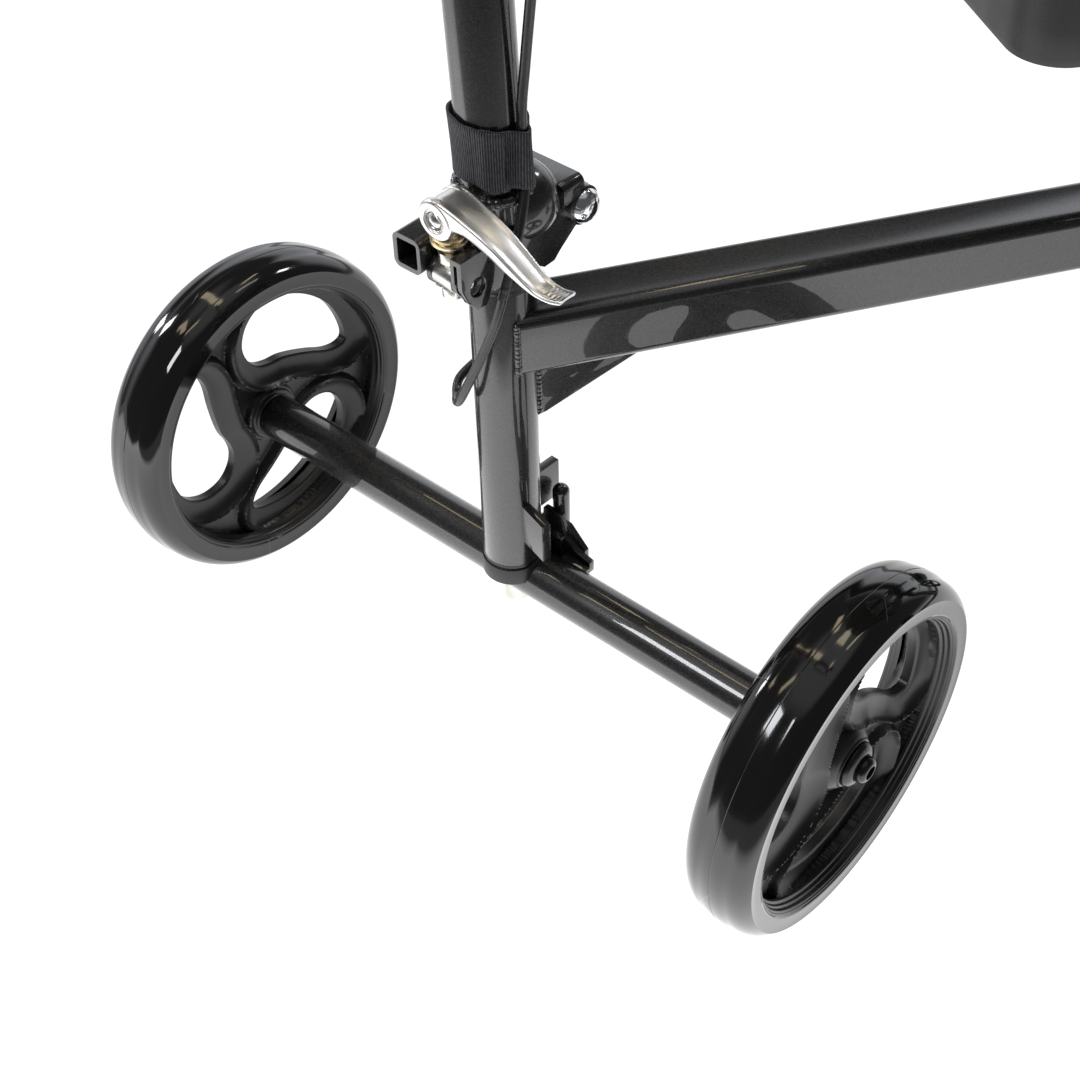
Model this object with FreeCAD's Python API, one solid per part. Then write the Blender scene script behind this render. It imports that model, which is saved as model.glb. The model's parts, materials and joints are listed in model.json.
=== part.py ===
import FreeCAD, Part
import math
import os

# Knee scooter, millimetres. +Z up, the front wheels lead towards -Y, +X is the rider's left.
# The steering assembly is drawn straight ahead about its own axis, then turned to its rest angle.

# ---- driving dimensions -------------------------------------------------------------------
WHEEL_R = 100.0            # 8 inch wheel
TYRE_W = 38.2
TYRE_CROWN_HALF = 7.84      # flat part of the tread, to each side of the middle
TYRE_SHOULDER_R = 13.0
TYRE_SHOULDER_DEG = 60.0   # the shoulder stops short of the wall, which leaves a crisp edge
RIM_R = 83.5               # tyre seat radius
RIM_W = 36.0
RIM_INNER_R = 80.0
WEB_X0, WEB_X1 = -4.5, 4.5
HALF_TRACK = 203.0
WHEELBASE = 560.0
AXLE_OFFSET = 5.9          # front axle behind the steering axis
AXLE_Z = WHEEL_R
CROSSBAR_R = 13.5
CROSSBAR_WALL = 2.5
CROSSBAR_HALF = 189.0

STEER_REST_DEG = 35.3      # steering turned to the left at rest
HEAD_Y = -232.6            # steering axis in the finished frame, so the overall box is centred
HEAD_R = 15.5
HEAD_WALL = 1.75
STOP_LUG_ANGLES = (32.6, -70.5)
HEAD_Z0, HEAD_Z1 = 117.0, 289.0
STEM_R = 11.0
RUN_FIT = 0.05             # radial clearance of a running fit

BEAM_W, BEAM_H = 33.0, 34.4
BEAM_CORNER = 6.0
BEAM_WALL = 2.5
BEAM_Z = 258.3
BEAM_PITCH = 0.0384        # rise per millimetre rearwards
BEAM_BEND_Y = 452.0
BEAM_BEND_R = 75.0
REAR_Y = AXLE_OFFSET + WHEELBASE

COLUMN_R = 14.7
COLUMN_WALL = 1.95
COLUMN_LEAN_DEG = 2.7
COLUMN_PIVOT_Z = 300.0     # the leaning column crosses the steering axis here
COLUMN_Z0, COLUMN_Z1 = 327.0, 640.0
STEM_TUBE_R = COLUMN_R - COLUMN_WALL - RUN_FIT
STEM_TUBE_Z0, STEM_TUBE_Z1 = 500.0, 838.0
BAR_R = 11.1
BAR_WALL = 1.8
BAR_Z = 852.0
BAR_HALF = 263.0
GRIP_LEN = 116.0
GRIP_R = 15.5

HINGE_X = -5.0             # middle of the folding bracket
HINGE_HALF = 20.5
SWING_X = 0.0              # middle of the swing bolt's slot
SHEET = 2.5
FOLD_Y, FOLD_Z = 36.0, 319.0
SWING_Y, SWING_Z = -31.0, 308.0
CAM_Z = 339.7
SLOT_HALF = 9.1            # the swing bolt and its washers leave through this open slot

PAD_POST_Y = 330.0
PAD_POST_R = 12.7
PAD_SLEEVE_R = 15.4
PAD_HALF_W = 95.0
PAD_Y0, PAD_Y1 = 194.0, 574.0
PAD_Z0, PAD_PAN_H, PAD_CUSHION_H = 412.0, 52.0, 34.0

CABLE_R = 2.3
WIRE_R = 0.8
CABLE_END_GAP = 0.9
SOFT_GAP = 0.3

os.makedirs("parts", exist_ok=True)
parts = {}


# ---- small helpers ------------------------------------------------------------------------
def vec(x, y, z):
    return FreeCAD.Vector(x, y, z)


def cylinder(radius, start, end):
    along = end - start
    return Part.makeCylinder(radius, along.Length, start, along)


def tube(outer, inner, start, end):
    return cylinder(outer, start, end).cut(cylinder(inner, start, end))


def box(x0, x1, y0, y1, z0, z1):
    return Part.makeBox(x1 - x0, y1 - y0, z1 - z0, vec(x0, y0, z0))


def fuse(*shapes):
    whole = shapes[0].fuse(list(shapes[1:])) if len(shapes) > 1 else shapes[0]
    return whole.removeSplitter()


def group(*shapes):
    return Part.makeCompound(list(shapes))


def round_edges(shape, radius, axis):
    """Fillets the straight edges that run along an axis: 0, 1 or 2."""
    chosen = []
    for edge in shape.Edges:
        if len(edge.Vertexes) == 2:
            run = edge.Vertexes[1].Point - edge.Vertexes[0].Point
            if abs(run[axis]) > 0.99 * run.Length:
                chosen.append(edge)
    return shape.makeFillet(radius, chosen)


def rounded_box(x0, x1, y0, y1, z0, z1, radius, axis):
    return round_edges(box(x0, x1, y0, y1, z0, z1), radius, axis)


def plate_x(outline, x0, x1):
    """Flat plate across X from (y, z) corners."""
    points = [vec(x0, y, z) for y, z in outline]
    wire = Part.makePolygon(points + points[:1])
    return Part.Face(wire).extrude(vec(x1 - x0, 0, 0))


def plate_y(outline, y0, y1):
    """Flat plate across Y from (x, z) corners."""
    points = [vec(x, y0, z) for x, z in outline]
    wire = Part.makePolygon(points + points[:1])
    return Part.Face(wire).extrude(vec(0, y1 - y0, 0))


def arc_path(points, radius=None):
    """Straight runs through the points, joined by tangent arcs. Without a radius each arc is
    as large as its two runs allow."""
    points = [vec(*p) for p in points]
    edges = []
    at = points[0]
    for before, corner, after in zip(points, points[1:], points[2:]):
        back, ahead = before - corner, after - corner
        half_turn = (math.pi - back.getAngle(ahead)) / 2
        bend = radius or 0.45 * min(back.Length, ahead.Length) / math.tan(half_turn)
        cut = bend * math.tan(half_turn)
        back.normalize()
        ahead.normalize()
        start, end = corner + back * cut, corner + ahead * cut
        middle_way = (back + ahead).normalize()
        middle = corner + middle_way * (bend / math.cos(half_turn) - bend)
        edges.append(Part.LineSegment(at, start).toShape())
        edges.append(Part.Arc(start, middle, end).toShape())
        at = end
    edges.append(Part.LineSegment(at, points[-1]).toShape())
    return Part.Wire(edges)


def swept_round(points, radius, bend=None):
    path = arc_path(points, bend)
    way = vec(*points[1]) - vec(*points[0])
    ring = Part.Wire([Part.makeCircle(radius, vec(*points[0]), way)])
    return path.makePipeShell([ring], True, False)


def rounded_rectangle(width, height, corner, centre, side, up):
    """Closed wire of a rounded rectangle about centre, with unit vectors side and up."""
    edges = []
    marks = []
    for sx, sz in ((1, 1), (-1, 1), (-1, -1), (1, -1)):
        middle = centre + side * (sx * (width / 2 - corner)) + up * (sz * (height / 2 - corner))
        first, last = (side * sx, up * sz) if sx * sz > 0 else (up * sz, side * sx)
        diagonal = (first + last).normalize()
        marks.append([middle + first * corner, middle + diagonal * corner, middle + last * corner])
    for index, (start, middle, end) in enumerate(marks):
        edges.append(Part.Arc(start, middle, end).toShape())
        edges.append(Part.LineSegment(end, marks[(index + 1) % 4][0]).toShape())
    return Part.Wire(edges)


def turned(shape, base, axis, degrees):
    copy = shape.copy()
    copy.rotate(base, axis, degrees)
    return copy


def moved(shape, x, y, z):
    copy = shape.copy()
    copy.translate(vec(x, y, z))
    return copy


def lean(shape):
    """Tips a shape drawn about the vertical steering axis to the column's forward lean."""
    return turned(shape, vec(0, 0, COLUMN_PIVOT_Z), vec(1, 0, 0), COLUMN_LEAN_DEG)


def frame_part(name, shape):
    parts[name] = moved(shape, 0, HEAD_Y, 0)


def steer_part(name, shape):
    parts[name] = moved(turned(shape, vec(0, 0, 0), vec(0, 0, 1), STEER_REST_DEG), 0, HEAD_Y, 0)


def column_part(name, shape):
    steer_part(name, lean(shape))


# ---- wheel, drawn about its own centre with its axle along X --------------------------------
HUB_IN, HUB_OUT = -11.0, 13.0
HUB_R = 15.0
BEARING_R = 11.0
BEARING_W = 7.0
AXLE_R = 5.0
CRUSH_BORE_R = 7.0


def revolved(profile_edges):
    face = Part.Face(Part.Wire(profile_edges))
    return face.revolve(vec(0, 0, 0), vec(1, 0, 0), 360)


def line(a, b):
    return Part.LineSegment(vec(*a), vec(*b)).toShape()


def arc(a, b, c):
    return Part.Arc(vec(*a), vec(*b), vec(*c)).toShape()


def make_tyre():
    half = TYRE_W / 2
    crown_r = WHEEL_R - 1.0

    def shoulder_point(side, degrees):
        turn = math.radians(degrees)
        return (side * (TYRE_CROWN_HALF + TYRE_SHOULDER_R * math.sin(turn)), 0,
                crown_r - TYRE_SHOULDER_R * (1 - math.cos(turn)))

    left, right = (-half, 0, RIM_R), (half, 0, RIM_R)
    wall_l, wall_r = shoulder_point(-1, TYRE_SHOULDER_DEG), shoulder_point(1, TYRE_SHOULDER_DEG)
    edge_l, edge_r = shoulder_point(-1, 0), shoulder_point(1, 0)
    return revolved([
        line(left, wall_l),
        arc(wall_l, shoulder_point(-1, TYRE_SHOULDER_DEG / 2), edge_l),
        arc(edge_l, (0, 0, WHEEL_R), edge_r),
        arc(edge_r, shoulder_point(1, TYRE_SHOULDER_DEG / 2), wall_r),
        line(wall_r, right),
        line(right, left),
    ])


def comma_hole():
    """Yin-yang shaped opening: a round lobe near the hub that runs out into a tail."""
    lobe_y, lobe_z, lobe_r = 11.5, 50.0, 20.5
    outer_r = 71.5
    tail_angle = math.radians(12.0)
    lobe_angle = math.atan2(lobe_z, lobe_y)
    top = (outer_r * math.cos(lobe_angle), outer_r * math.sin(lobe_angle))
    tail = (outer_r * math.cos(tail_angle), outer_r * math.sin(tail_angle))
    middle_angle = (tail_angle + lobe_angle) / 2
    rim_middle = (outer_r * math.cos(middle_angle), outer_r * math.sin(middle_angle))
    low = (lobe_y - 2.0, lobe_z - lobe_r)
    left = (lobe_y - lobe_r, lobe_z)
    waist = (38.0, 21.5)
    tip = (outer_r * math.cos(tail_angle) - 8.0, 12.5)
    at = lambda p: vec(WEB_X0 - 1, p[0], p[1])
    curve = Part.BSplineCurve()
    curve.interpolate([at(low), at(waist), at(tip)])
    edges = [
        Part.Arc(at(tail), at(rim_middle), at(top)).toShape(),
        Part.Arc(at(top), at(left), at(low)).toShape(),
        curve.toShape(),
        Part.LineSegment(at(tip), at(tail)).toShape(),
    ]
    return Part.Face(Part.Wire(edges)).extrude(vec(WEB_X1 - WEB_X0 + 2, 0, 0))


def make_rim():
    half = RIM_W / 2
    barrel = tube(RIM_R, RIM_INNER_R, vec(-half, 0, 0), vec(half, 0, 0))
    web = cylinder(RIM_INNER_R + 1, vec(WEB_X0, 0, 0), vec(WEB_X1, 0, 0))
    hub = cylinder(HUB_R, vec(HUB_IN, 0, 0), vec(HUB_OUT, 0, 0))
    rim = fuse(barrel, web, hub)
    for turn in (0, 120, 240):
        rim = rim.cut(turned(comma_hole(), vec(0, 0, 0), vec(1, 0, 0), turn))
    bore = cylinder(CRUSH_BORE_R, vec(HUB_IN - 1, 0, 0), vec(HUB_OUT + 1, 0, 0))
    pocket_in = cylinder(BEARING_R, vec(HUB_IN, 0, 0), vec(HUB_IN + BEARING_W, 0, 0))
    pocket_out = cylinder(BEARING_R, vec(HUB_OUT - BEARING_W, 0, 0), vec(HUB_OUT, 0, 0))
    return rim.cut(fuse(bore, pocket_in, pocket_out))


def make_bearings():
    inner_r = AXLE_R + RUN_FIT
    inner = tube(BEARING_R, inner_r, vec(HUB_IN, 0, 0), vec(HUB_IN + BEARING_W, 0, 0))
    outer = tube(BEARING_R, inner_r, vec(HUB_OUT - BEARING_W, 0, 0), vec(HUB_OUT, 0, 0))
    return group(inner, outer)


def hub_cap():
    disc = Part.makeCone(12.3, 8.5, 4.5, vec(HUB_OUT + 0.4, 0, 0), vec(1, 0, 0))
    return disc.cut(cylinder(AXLE_R, vec(HUB_OUT, 0, 0), vec(HUB_OUT + 6, 0, 0)))


def axle_bolt():
    shank = cylinder(AXLE_R, vec(-43.0, 0, 0), vec(HUB_OUT + 4.9, 0, 0))
    head = Part.makeCone(8.0, 5.5, 5.0, vec(HUB_OUT + 4.9, 0, 0), vec(1, 0, 0))
    socket = plate_x([(3.0 * math.cos(a), 3.0 * math.sin(a))
                      for a in [math.radians(60 * n) for n in range(6)]],
                     HUB_OUT + 6.9, HUB_OUT + 12.0)
    return fuse(shank, head).cut(socket)


def axle_plug():
    return tube(CROSSBAR_R - CROSSBAR_WALL, AXLE_R, vec(-43.0, 0, 0), vec(-14.0, 0, 0))


def axle_spacer():
    return tube(9.0, AXLE_R, vec(-14.0, 0, 0), vec(HUB_IN - 0.4, 0, 0))


def pair(make, y, z):
    """The same piece at both ends of an axle; the right-hand one is turned round."""
    left = moved(make(), HALF_TRACK, y, z)
    right = turned(moved(make(), HALF_TRACK, 0, 0), vec(0, 0, 0), vec(0, 0, 1), 180)
    return group(left, moved(right, 0, y, z))


def add_wheel(name, place, side, y, phase):
    """side is +1 on the rider's left. Both wheels face the same way along X, as moulded."""
    for piece, make in (("tyre", make_tyre), ("rim", make_rim), ("bearings", make_bearings)):
        shape = turned(make(), vec(0, 0, 0), vec(1, 0, 0), phase)
        if side < 0 and piece != "tyre":
            shape = shape.mirror(vec(0, 0, 0), vec(1, 0, 0))
        place(name + "_" + piece, moved(shape, side * HALF_TRACK, y, AXLE_Z))


def add_axle(name, place, y):
    """Crossbar tube with a welded plug in each end, and the fasteners that hold its wheels."""
    start, end = vec(-CROSSBAR_HALF, y, AXLE_Z), vec(CROSSBAR_HALF, y, AXLE_Z)
    hollow = tube(CROSSBAR_R, CROSSBAR_R - CROSSBAR_WALL, start, end)
    place(name + "_crossbar", fuse(hollow, *pair(axle_plug, y, AXLE_Z).Solids))
    place(name + "_axle_washers", group(pair(axle_spacer, y, AXLE_Z), pair(hub_cap, y, AXLE_Z)))
    place(name + "_axle_bolts", pair(axle_bolt, y, AXLE_Z))


def crossbar_core(y):
    return cylinder(CROSSBAR_R, vec(-CROSSBAR_HALF, y, AXLE_Z), vec(CROSSBAR_HALF, y, AXLE_Z))


for wheel, side, phase in (("front_left", 1, -19), ("front_right", -1, 0)):
    add_wheel(wheel, steer_part, side, AXLE_OFFSET, phase)
for wheel, side, phase in (("rear_left", 1, 40), ("rear_right", -1, 85)):
    add_wheel(wheel, frame_part, side, REAR_Y, phase)


# ---- frame: head tube, beam, rear axle --------------------------------------------------------
head_core = cylinder(HEAD_R, vec(0, 0, HEAD_Z0), vec(0, 0, HEAD_Z1))
head_tube = tube(HEAD_R, HEAD_R - HEAD_WALL, vec(0, 0, HEAD_Z0), vec(0, 0, HEAD_Z1))
stop_lugs = [turned(box(-2.5, 2.5, HEAD_R - 1.0, 33.5, 134.0, 158.0), vec(0, 0, 0), vec(0, 0, 1), side)
             for side in STOP_LUG_ANGLES]
frame_part("head_tube", fuse(head_tube, *stop_lugs))

BUSH_R = HEAD_R - HEAD_WALL
BUSH_BORE = STEM_R + RUN_FIT


def head_bush(z_flange, z_inside):
    flange = tube(HEAD_R, BUSH_BORE, vec(0, 0, z_flange), vec(0, 0, z_flange + 2.6))
    inside = tube(BUSH_R, BUSH_BORE, vec(0, 0, z_inside), vec(0, 0, z_inside + 14.0))
    return fuse(flange, inside)


frame_part("head_bushes", group(head_bush(HEAD_Z0 - 2.6, HEAD_Z0),
                                head_bush(HEAD_Z1, HEAD_Z1 - 14.0)))


def beam_point(y):
    return vec(0, y, BEAM_Z + BEAM_PITCH * y)


def make_beam():
    start, corner = beam_point(2.0), beam_point(BEAM_BEND_Y)
    end = vec(0, REAR_Y - 3.0, AXLE_Z + 4.0)
    path = arc_path([tuple(start), tuple(corner), tuple(end)], BEAM_BEND_R)
    along = (corner - start).normalize()
    side, up = vec(1, 0, 0), vec(1, 0, 0).cross(along)
    solids = []
    for shrink in (0.0, BEAM_WALL):
        profile = rounded_rectangle(BEAM_W - 2 * shrink, BEAM_H - 2 * shrink,
                                    BEAM_CORNER - shrink, start, side, up)
        solids.append(path.makePipeShell([profile], True, False))
    return solids[0].cut(solids[1])


beam = make_beam().cut(fuse(head_core, crossbar_core(REAR_Y)))
sleeve_hole = cylinder(PAD_SLEEVE_R, vec(0, PAD_POST_Y, 200), vec(0, PAD_POST_Y, 320))
beam = beam.cut(sleeve_hole)
beam = max(beam.Solids, key=lambda s: s.Volume)
frame_part("main_beam", beam)

gusset = plate_x([(HEAD_R - 2, 205.0), (HEAD_R - 2, 246.0), (74.0, 246.0), (74.0, 239.5),
                  (HEAD_R + 4, 207.0)], -2.0, 2.0)
beam_hull = Part.makeBox(BEAM_W, BEAM_BEND_Y, 60, vec(-BEAM_W / 2, 0, BEAM_Z - BEAM_H / 2))
beam_hull = turned(beam_hull, vec(0, 0, BEAM_Z), vec(1, 0, 0), math.degrees(BEAM_PITCH))
gusset = gusset.cut(head_core).cut(beam_hull)

rear_gussets = [plate_x([(REAR_Y - 62, 132.0), (REAR_Y - 16, 88.0), (REAR_Y + 6, 92.0),
                         (REAR_Y + 10, 122.0), (REAR_Y - 34, 176.0)], x, x + 3.0)
                for x in (-BEAM_W / 2 - 3.0, BEAM_W / 2)]
rear_gussets = [g.cut(crossbar_core(REAR_Y)) for g in rear_gussets]
frame_part("frame_gussets", group(gusset, *rear_gussets))
add_axle("rear", frame_part, REAR_Y)


# ---- steerer: crossbar, stem, stop bracket, lower half of the folding hinge -------------------
add_axle("front", steer_part, AXLE_OFFSET)
front_core = crossbar_core(AXLE_OFFSET)
stem = cylinder(STEM_R, vec(0, 0, AXLE_Z), vec(0, 0, 297.0)).cut(front_core)
steer_part("steerer_stem", stem)
collar = tube(16.3, STEM_R, vec(0, 0, 104.0), vec(0, 0, HEAD_Z0 - 2.9)).cut(front_core)
bolt_head = cylinder(6.5, vec(0, 2.0, 80.5), vec(0, 2.0, 95.0)).cut(front_core)
steer_part("stem_bolt", bolt_head)
spacer = tube(16.0, STEM_R, vec(0, 0, HEAD_Z1 + 3.0), vec(0, 0, 297.0))
steer_part("stem_rings", group(collar, spacer))

STOP_X, STOP_Y = 9.5, 26.0
boot = fuse(
    box(-2.0, 19.0, 17.0, 24.0, 96.0, 121.0),
    plate_y([(2.0, 104.0), (36.0, 104.0), (36.0, 111.0), (26.0, 113.5), (19.0, 121.0),
             (16.0, 133.0), (4.0, 133.0)], 20.5, 24.0),
    box(4.0, 36.0, 17.0, 24.0, 104.0, 107.5),
).cut(front_core)
pin_bottom = 110.0
stop_pin = cylinder(4.6, vec(STOP_X, STOP_Y + 2.7, pin_bottom), vec(STOP_X, STOP_Y + 2.7, 142.0))
stop_ball = Part.makeSphere(4.6, vec(STOP_X, STOP_Y + 2.7, 142.0))
stop_pin = fuse(stop_pin, stop_ball)
octagon = [(10.0 + 21.5 * math.cos(a), 105.5 + 21.5 * math.sin(a))
           for a in [math.radians(22.5 + 45 * n) for n in range(8)]]
steer_part("stop_bracket", fuse(boot, stop_pin, plate_y(octagon, 24.0, 27.0)))


# ---- folding hinge: lower half, swing bolt and cam lever ----------------------------------------
BASE_Z0, BASE_Z1 = 297.0, 300.0
INNER_HALF = HINGE_HALF - SHEET - 0.5
EAR_NEAR, EAR_FAR = 5.8, 9.0       # each ear's two faces, from the middle of the slot
EAR_R = 7.0
SWING_PIN_R = 3.6
SWING_PIN_END = 12.7               # the pin's head shows in the window of the outer bracket
FOLD_BOLT_R = 4.0
ROD_R = 4.0
WASHER_Z = 325.6
WASHER_T, SADDLE_WASHER_T = 2.2, 2.0
CAM_R = 9.5
CAM_HALF = 9.0                     # half the width of the cam and of the lever's root
CHEEK_IN = 4.6                     # inner face of each cam cheek


def across(radius, x0, x1, y, z):
    """Cylinder along X."""
    return cylinder(radius, vec(x0, y, z), vec(x1, y, z))


def upright(radius, x, y, z0, z1):
    """Cylinder along Z."""
    return cylinder(radius, vec(x, y, z0), vec(x, y, z1))


inner0, inner1 = HINGE_X - INNER_HALF, HINGE_X + INNER_HALF
base = box(inner0, inner1, -17.0, 26.0, BASE_Z0, BASE_Z1)
ears = []
for x0, x1 in ((SWING_X - EAR_FAR, SWING_X - EAR_NEAR), (SWING_X + EAR_NEAR, SWING_X + EAR_FAR)):
    ears.append(box(x0, x1, -33.0, -14.0, 299.0, 315.0))
    ears.append(across(EAR_R, x0, x1, SWING_Y, SWING_Z))
inner_walls = []
for x0, x1 in ((inner0, inner0 + SHEET), (inner1 - SHEET, inner1)):
    inner_walls.append(plate_x([(-17, 297), (26, 297), (FOLD_Y + 8, 312), (FOLD_Y + 8, 320),
                                (FOLD_Y - 8, 320), (24, 315), (-17, 315)], x0, x1))
    inner_walls.append(across(8.5, x0, x1, FOLD_Y, FOLD_Z))
lower = fuse(base, *ears, *inner_walls)
swing_pin = across(SWING_PIN_R, SWING_X - EAR_FAR, SWING_X + SWING_PIN_END, SWING_Y, SWING_Z)
fold_hole = across(FOLD_BOLT_R, -30, 30, FOLD_Y, FOLD_Z)
steer_part("lower_hinge_bracket", lower.cut(swing_pin).cut(fold_hole))
bolt_x0, bolt_x1 = HINGE_X - HINGE_HALF - 4.5, HINGE_X + HINGE_HALF + 4.5
fold_bolt = across(FOLD_BOLT_R, bolt_x0, bolt_x1, FOLD_Y, FOLD_Z)
fold_head = Part.makeCone(8.2, 5.0, 5.5, vec(bolt_x1, FOLD_Y, FOLD_Z), vec(1, 0, 0))
fold_nut = across(6.6, bolt_x0, bolt_x0 - 5.0, FOLD_Y, FOLD_Z)
steer_part("hinge_pins", group(swing_pin, fuse(fold_bolt, fold_head), fold_nut))

pin_bore = across(SWING_PIN_R + RUN_FIT, SWING_X - 8, SWING_X + 8, SWING_Y, SWING_Z)
eye = across(7.0, SWING_X - 5.5, SWING_X + 5.5, SWING_Y, SWING_Z)
rod = upright(ROD_R, SWING_X, SWING_Y, SWING_Z + 6.0, CAM_Z - 5.2)
jam_nut = upright(5.7, SWING_X, SWING_Y, 316.0, 321.0)
tail = upright(3.0, SWING_X, SWING_Y, 296.2, 302.0)
tail_nut = upright(5.0, SWING_X, SWING_Y, 297.4, 301.6)
steer_part("swing_bolt", fuse(eye, rod, jam_nut, tail, tail_nut).cut(pin_bore))
washer_top = WASHER_Z + WASHER_T
washer = upright(8.8, SWING_X, SWING_Y, WASHER_Z, washer_top)
saddle_washer = upright(8.0, SWING_X, SWING_Y, washer_top, washer_top + SADDLE_WASHER_T)
washer_bore = upright(ROD_R, SWING_X, SWING_Y, WASHER_Z - 1, washer_top + SADDLE_WASHER_T + 1)
steer_part("clamp_washers", group(washer.cut(washer_bore), saddle_washer.cut(washer_bore)))
cam_pin = cylinder(4.2, vec(SWING_X, SWING_Y - CAM_HALF, CAM_Z),
                   vec(SWING_X, SWING_Y + CAM_HALF, CAM_Z))
steer_part("cam_pin", cam_pin)
cheeks = [cylinder(CAM_R, vec(SWING_X, y0, CAM_Z), vec(SWING_X, y1, CAM_Z))
          for y0, y1 in ((SWING_Y - CAM_HALF, SWING_Y - CHEEK_IN),
                         (SWING_Y + CHEEK_IN, SWING_Y + CAM_HALF))]
# side view of the lever: along the top from the cam to the tip, then back underneath
arm_side = [(-1, 349.2), (3, 348.8), (9.7, 347.4), (18.3, 344.3), (25.2, 341.8), (33.6, 337.9),
            (42.6, 332.3), (48.8, 328.4), (54.4, 326.0), (60.1, 325.6), (67.1, 327.4),
            (67.1, 325.4), (60.1, 323.2), (54.4, 323.2), (48.8, 325.0), (42.6, 328.2),
            (33.6, 333.2), (25.2, 337.6), (18.3, 340.6), (9.7, 343.8), (-1, 345.4)]
arm = plate_y(arm_side, SWING_Y - CAM_HALF, SWING_Y + CAM_HALF)
for side in (1, -1):
    taper = [vec(SWING_X + along, SWING_Y + side * half, 300)
             for along, half in ((8, -CAM_HALF - 0.1), (80, -CAM_HALF - 0.1), (80, -4.8))]
    arm = arm.cut(Part.Face(Part.makePolygon(taper + taper[:1])).extrude(vec(0, 0, 80)))
cam_hole = cylinder(4.25, vec(SWING_X, SWING_Y - 12, CAM_Z), vec(SWING_X, SWING_Y + 12, CAM_Z))
steer_part("cam_lever", fuse(*cheeks, arm).cut(cam_hole))


# ---- column: upper half of the folding hinge, tube, strap --------------------------------------
outer0, outer1 = HINGE_X - HINGE_HALF, HINGE_X + HINGE_HALF
slot_x0, slot_x1 = SWING_X - SLOT_HALF, SWING_X + SLOT_HALF
LIP_Y0, LIP_Y1 = -41.0, -18.5
DOME_R = 19.0              # pressed cap that the column's foot stands in
top_plate = fuse(box(outer0, outer1, LIP_Y1, 24.0, 322.5, 325.0),
                 box(slot_x0, outer1, LIP_Y0, LIP_Y1, 322.5, 325.0))
far_wall = plate_x([(LIP_Y1, 325), (LIP_Y1, 307), (-14, 309), (-6, 301), (20, 301),
                    (FOLD_Y - 4, 309), (FOLD_Y + 6, 311), (FOLD_Y + 8, 325)], outer0, outer0 + SHEET)
near_wall = plate_x([(LIP_Y0, 325), (LIP_Y0, 310.5), (-37.5, 302.5), (-32, 296.4), (-26, 296),
                     (-22.4, 301.5), (-8, 300), (10, 297.4), (13, 295.3), (20, 295.5), (24, 299),
                     (FOLD_Y - 2, 306), (FOLD_Y + 6, 311), (FOLD_Y + 8, 325)], outer1 - SHEET, outer1)
# the front corners are folded on round, so each side of the slot ends in a short box
far_lip = rounded_box(outer0, slot_x0, LIP_Y0, LIP_Y1, 307.0, 325.0, 3.8, 1)
far_lip = far_lip.cut(rounded_box(outer0 + SHEET, slot_x0 - 2.0, LIP_Y0 - 5, LIP_Y1 + 5,
                                  309.5, 322.5, 1.4, 1))
near_lip = box(slot_x1, slot_x1 + 2.0, LIP_Y0, LIP_Y1, 312.5, 325.0)
window = across(5.0, outer1 - 6, outer1 + 6, SWING_Y, SWING_Z)
saddle = rounded_box(outer0 - 4.5, outer1 + 4.5, 22.0, 36.0, 322.5, 335.0, 4.0, 1)
saddle_hollow = box(outer0 + SHEET, outer1 - SHEET, 10.0, 50.0, 300.0, 331.5)
bosses = fuse(across(9.5, outer0 - 4.5, outer0 + SHEET, FOLD_Y, FOLD_Z),
              across(9.5, outer1 - SHEET, outer1 + 4.5, FOLD_Y, FOLD_Z))
dome = Part.makeSphere(DOME_R, vec(3.0, 10.0, 328.0))
cavity = box(outer0 + SHEET, outer1 - SHEET, -60.0, 60.0, 280.0, 322.5)
upper = fuse(top_plate, far_wall, near_wall, saddle.cut(saddle_hollow), bosses, dome).cut(cavity)
upper = fuse(upper, far_lip, near_lip)
slot = fuse(box(slot_x0, slot_x1, -50.0, SWING_Y, 300.0, 330.0),
            upright(SLOT_HALF, SWING_X, SWING_Y, 300.0, 330.0))
fold_run = across(FOLD_BOLT_R + RUN_FIT, -40, 40, FOLD_Y, FOLD_Z)
column_core = cylinder(COLUMN_R, vec(0, 0, COLUMN_Z0), vec(0, 0, COLUMN_Z1))
upper = upper.cut(slot).cut(fold_run).cut(window).cut(lean(column_core))
steer_part("upper_hinge_bracket", max(upper.Solids, key=lambda s: s.Volume))

column_tube = tube(COLUMN_R, COLUMN_R - COLUMN_WALL, vec(0, 0, COLUMN_Z0), vec(0, 0, COLUMN_Z1))
weld_ring = lean(tube(17.2, COLUMN_R, vec(0, 0, 338.0), vec(0, 0, 343.5))).cut(dome)
steer_part("column_tube", fuse(lean(column_tube), weld_ring))

CLAMP_Z0, CLAMP_Z1 = 612.0, 646.0
clamp_body = fuse(cylinder(19.5, vec(0, 0, CLAMP_Z0), vec(0, 0, CLAMP_Z1)),
                  box(-9.0, 9.0, 14.0, 34.0, CLAMP_Z0 + 4, CLAMP_Z1 - 4))
clamp_body = clamp_body.cut(cylinder(COLUMN_R, vec(0, 0, CLAMP_Z0 - 1), vec(0, 0, COLUMN_Z1)))
clamp_body = clamp_body.cut(cylinder(STEM_TUBE_R + 0.3, vec(0, 0, CLAMP_Z0), vec(0, 0, CLAMP_Z1 + 1)))
clamp_body = clamp_body.cut(box(-1.2, 1.2, 14.0, 40.0, CLAMP_Z0, CLAMP_Z1))
LEVER_Z = (CLAMP_Z0 + CLAMP_Z1) / 2
HEIGHT_SCREW_Y = 27.0


def clamp_screw(y, z):
    """Screw across a split clamp, with its head on the right."""
    return fuse(across(3.0, -14.0, 16.5, y, z), across(5.5, -14.0, -9.0, y, z))


height_screw = clamp_screw(HEIGHT_SCREW_Y, LEVER_Z)
column_part("height_clamp", group(clamp_body.cut(height_screw), height_screw))


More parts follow.
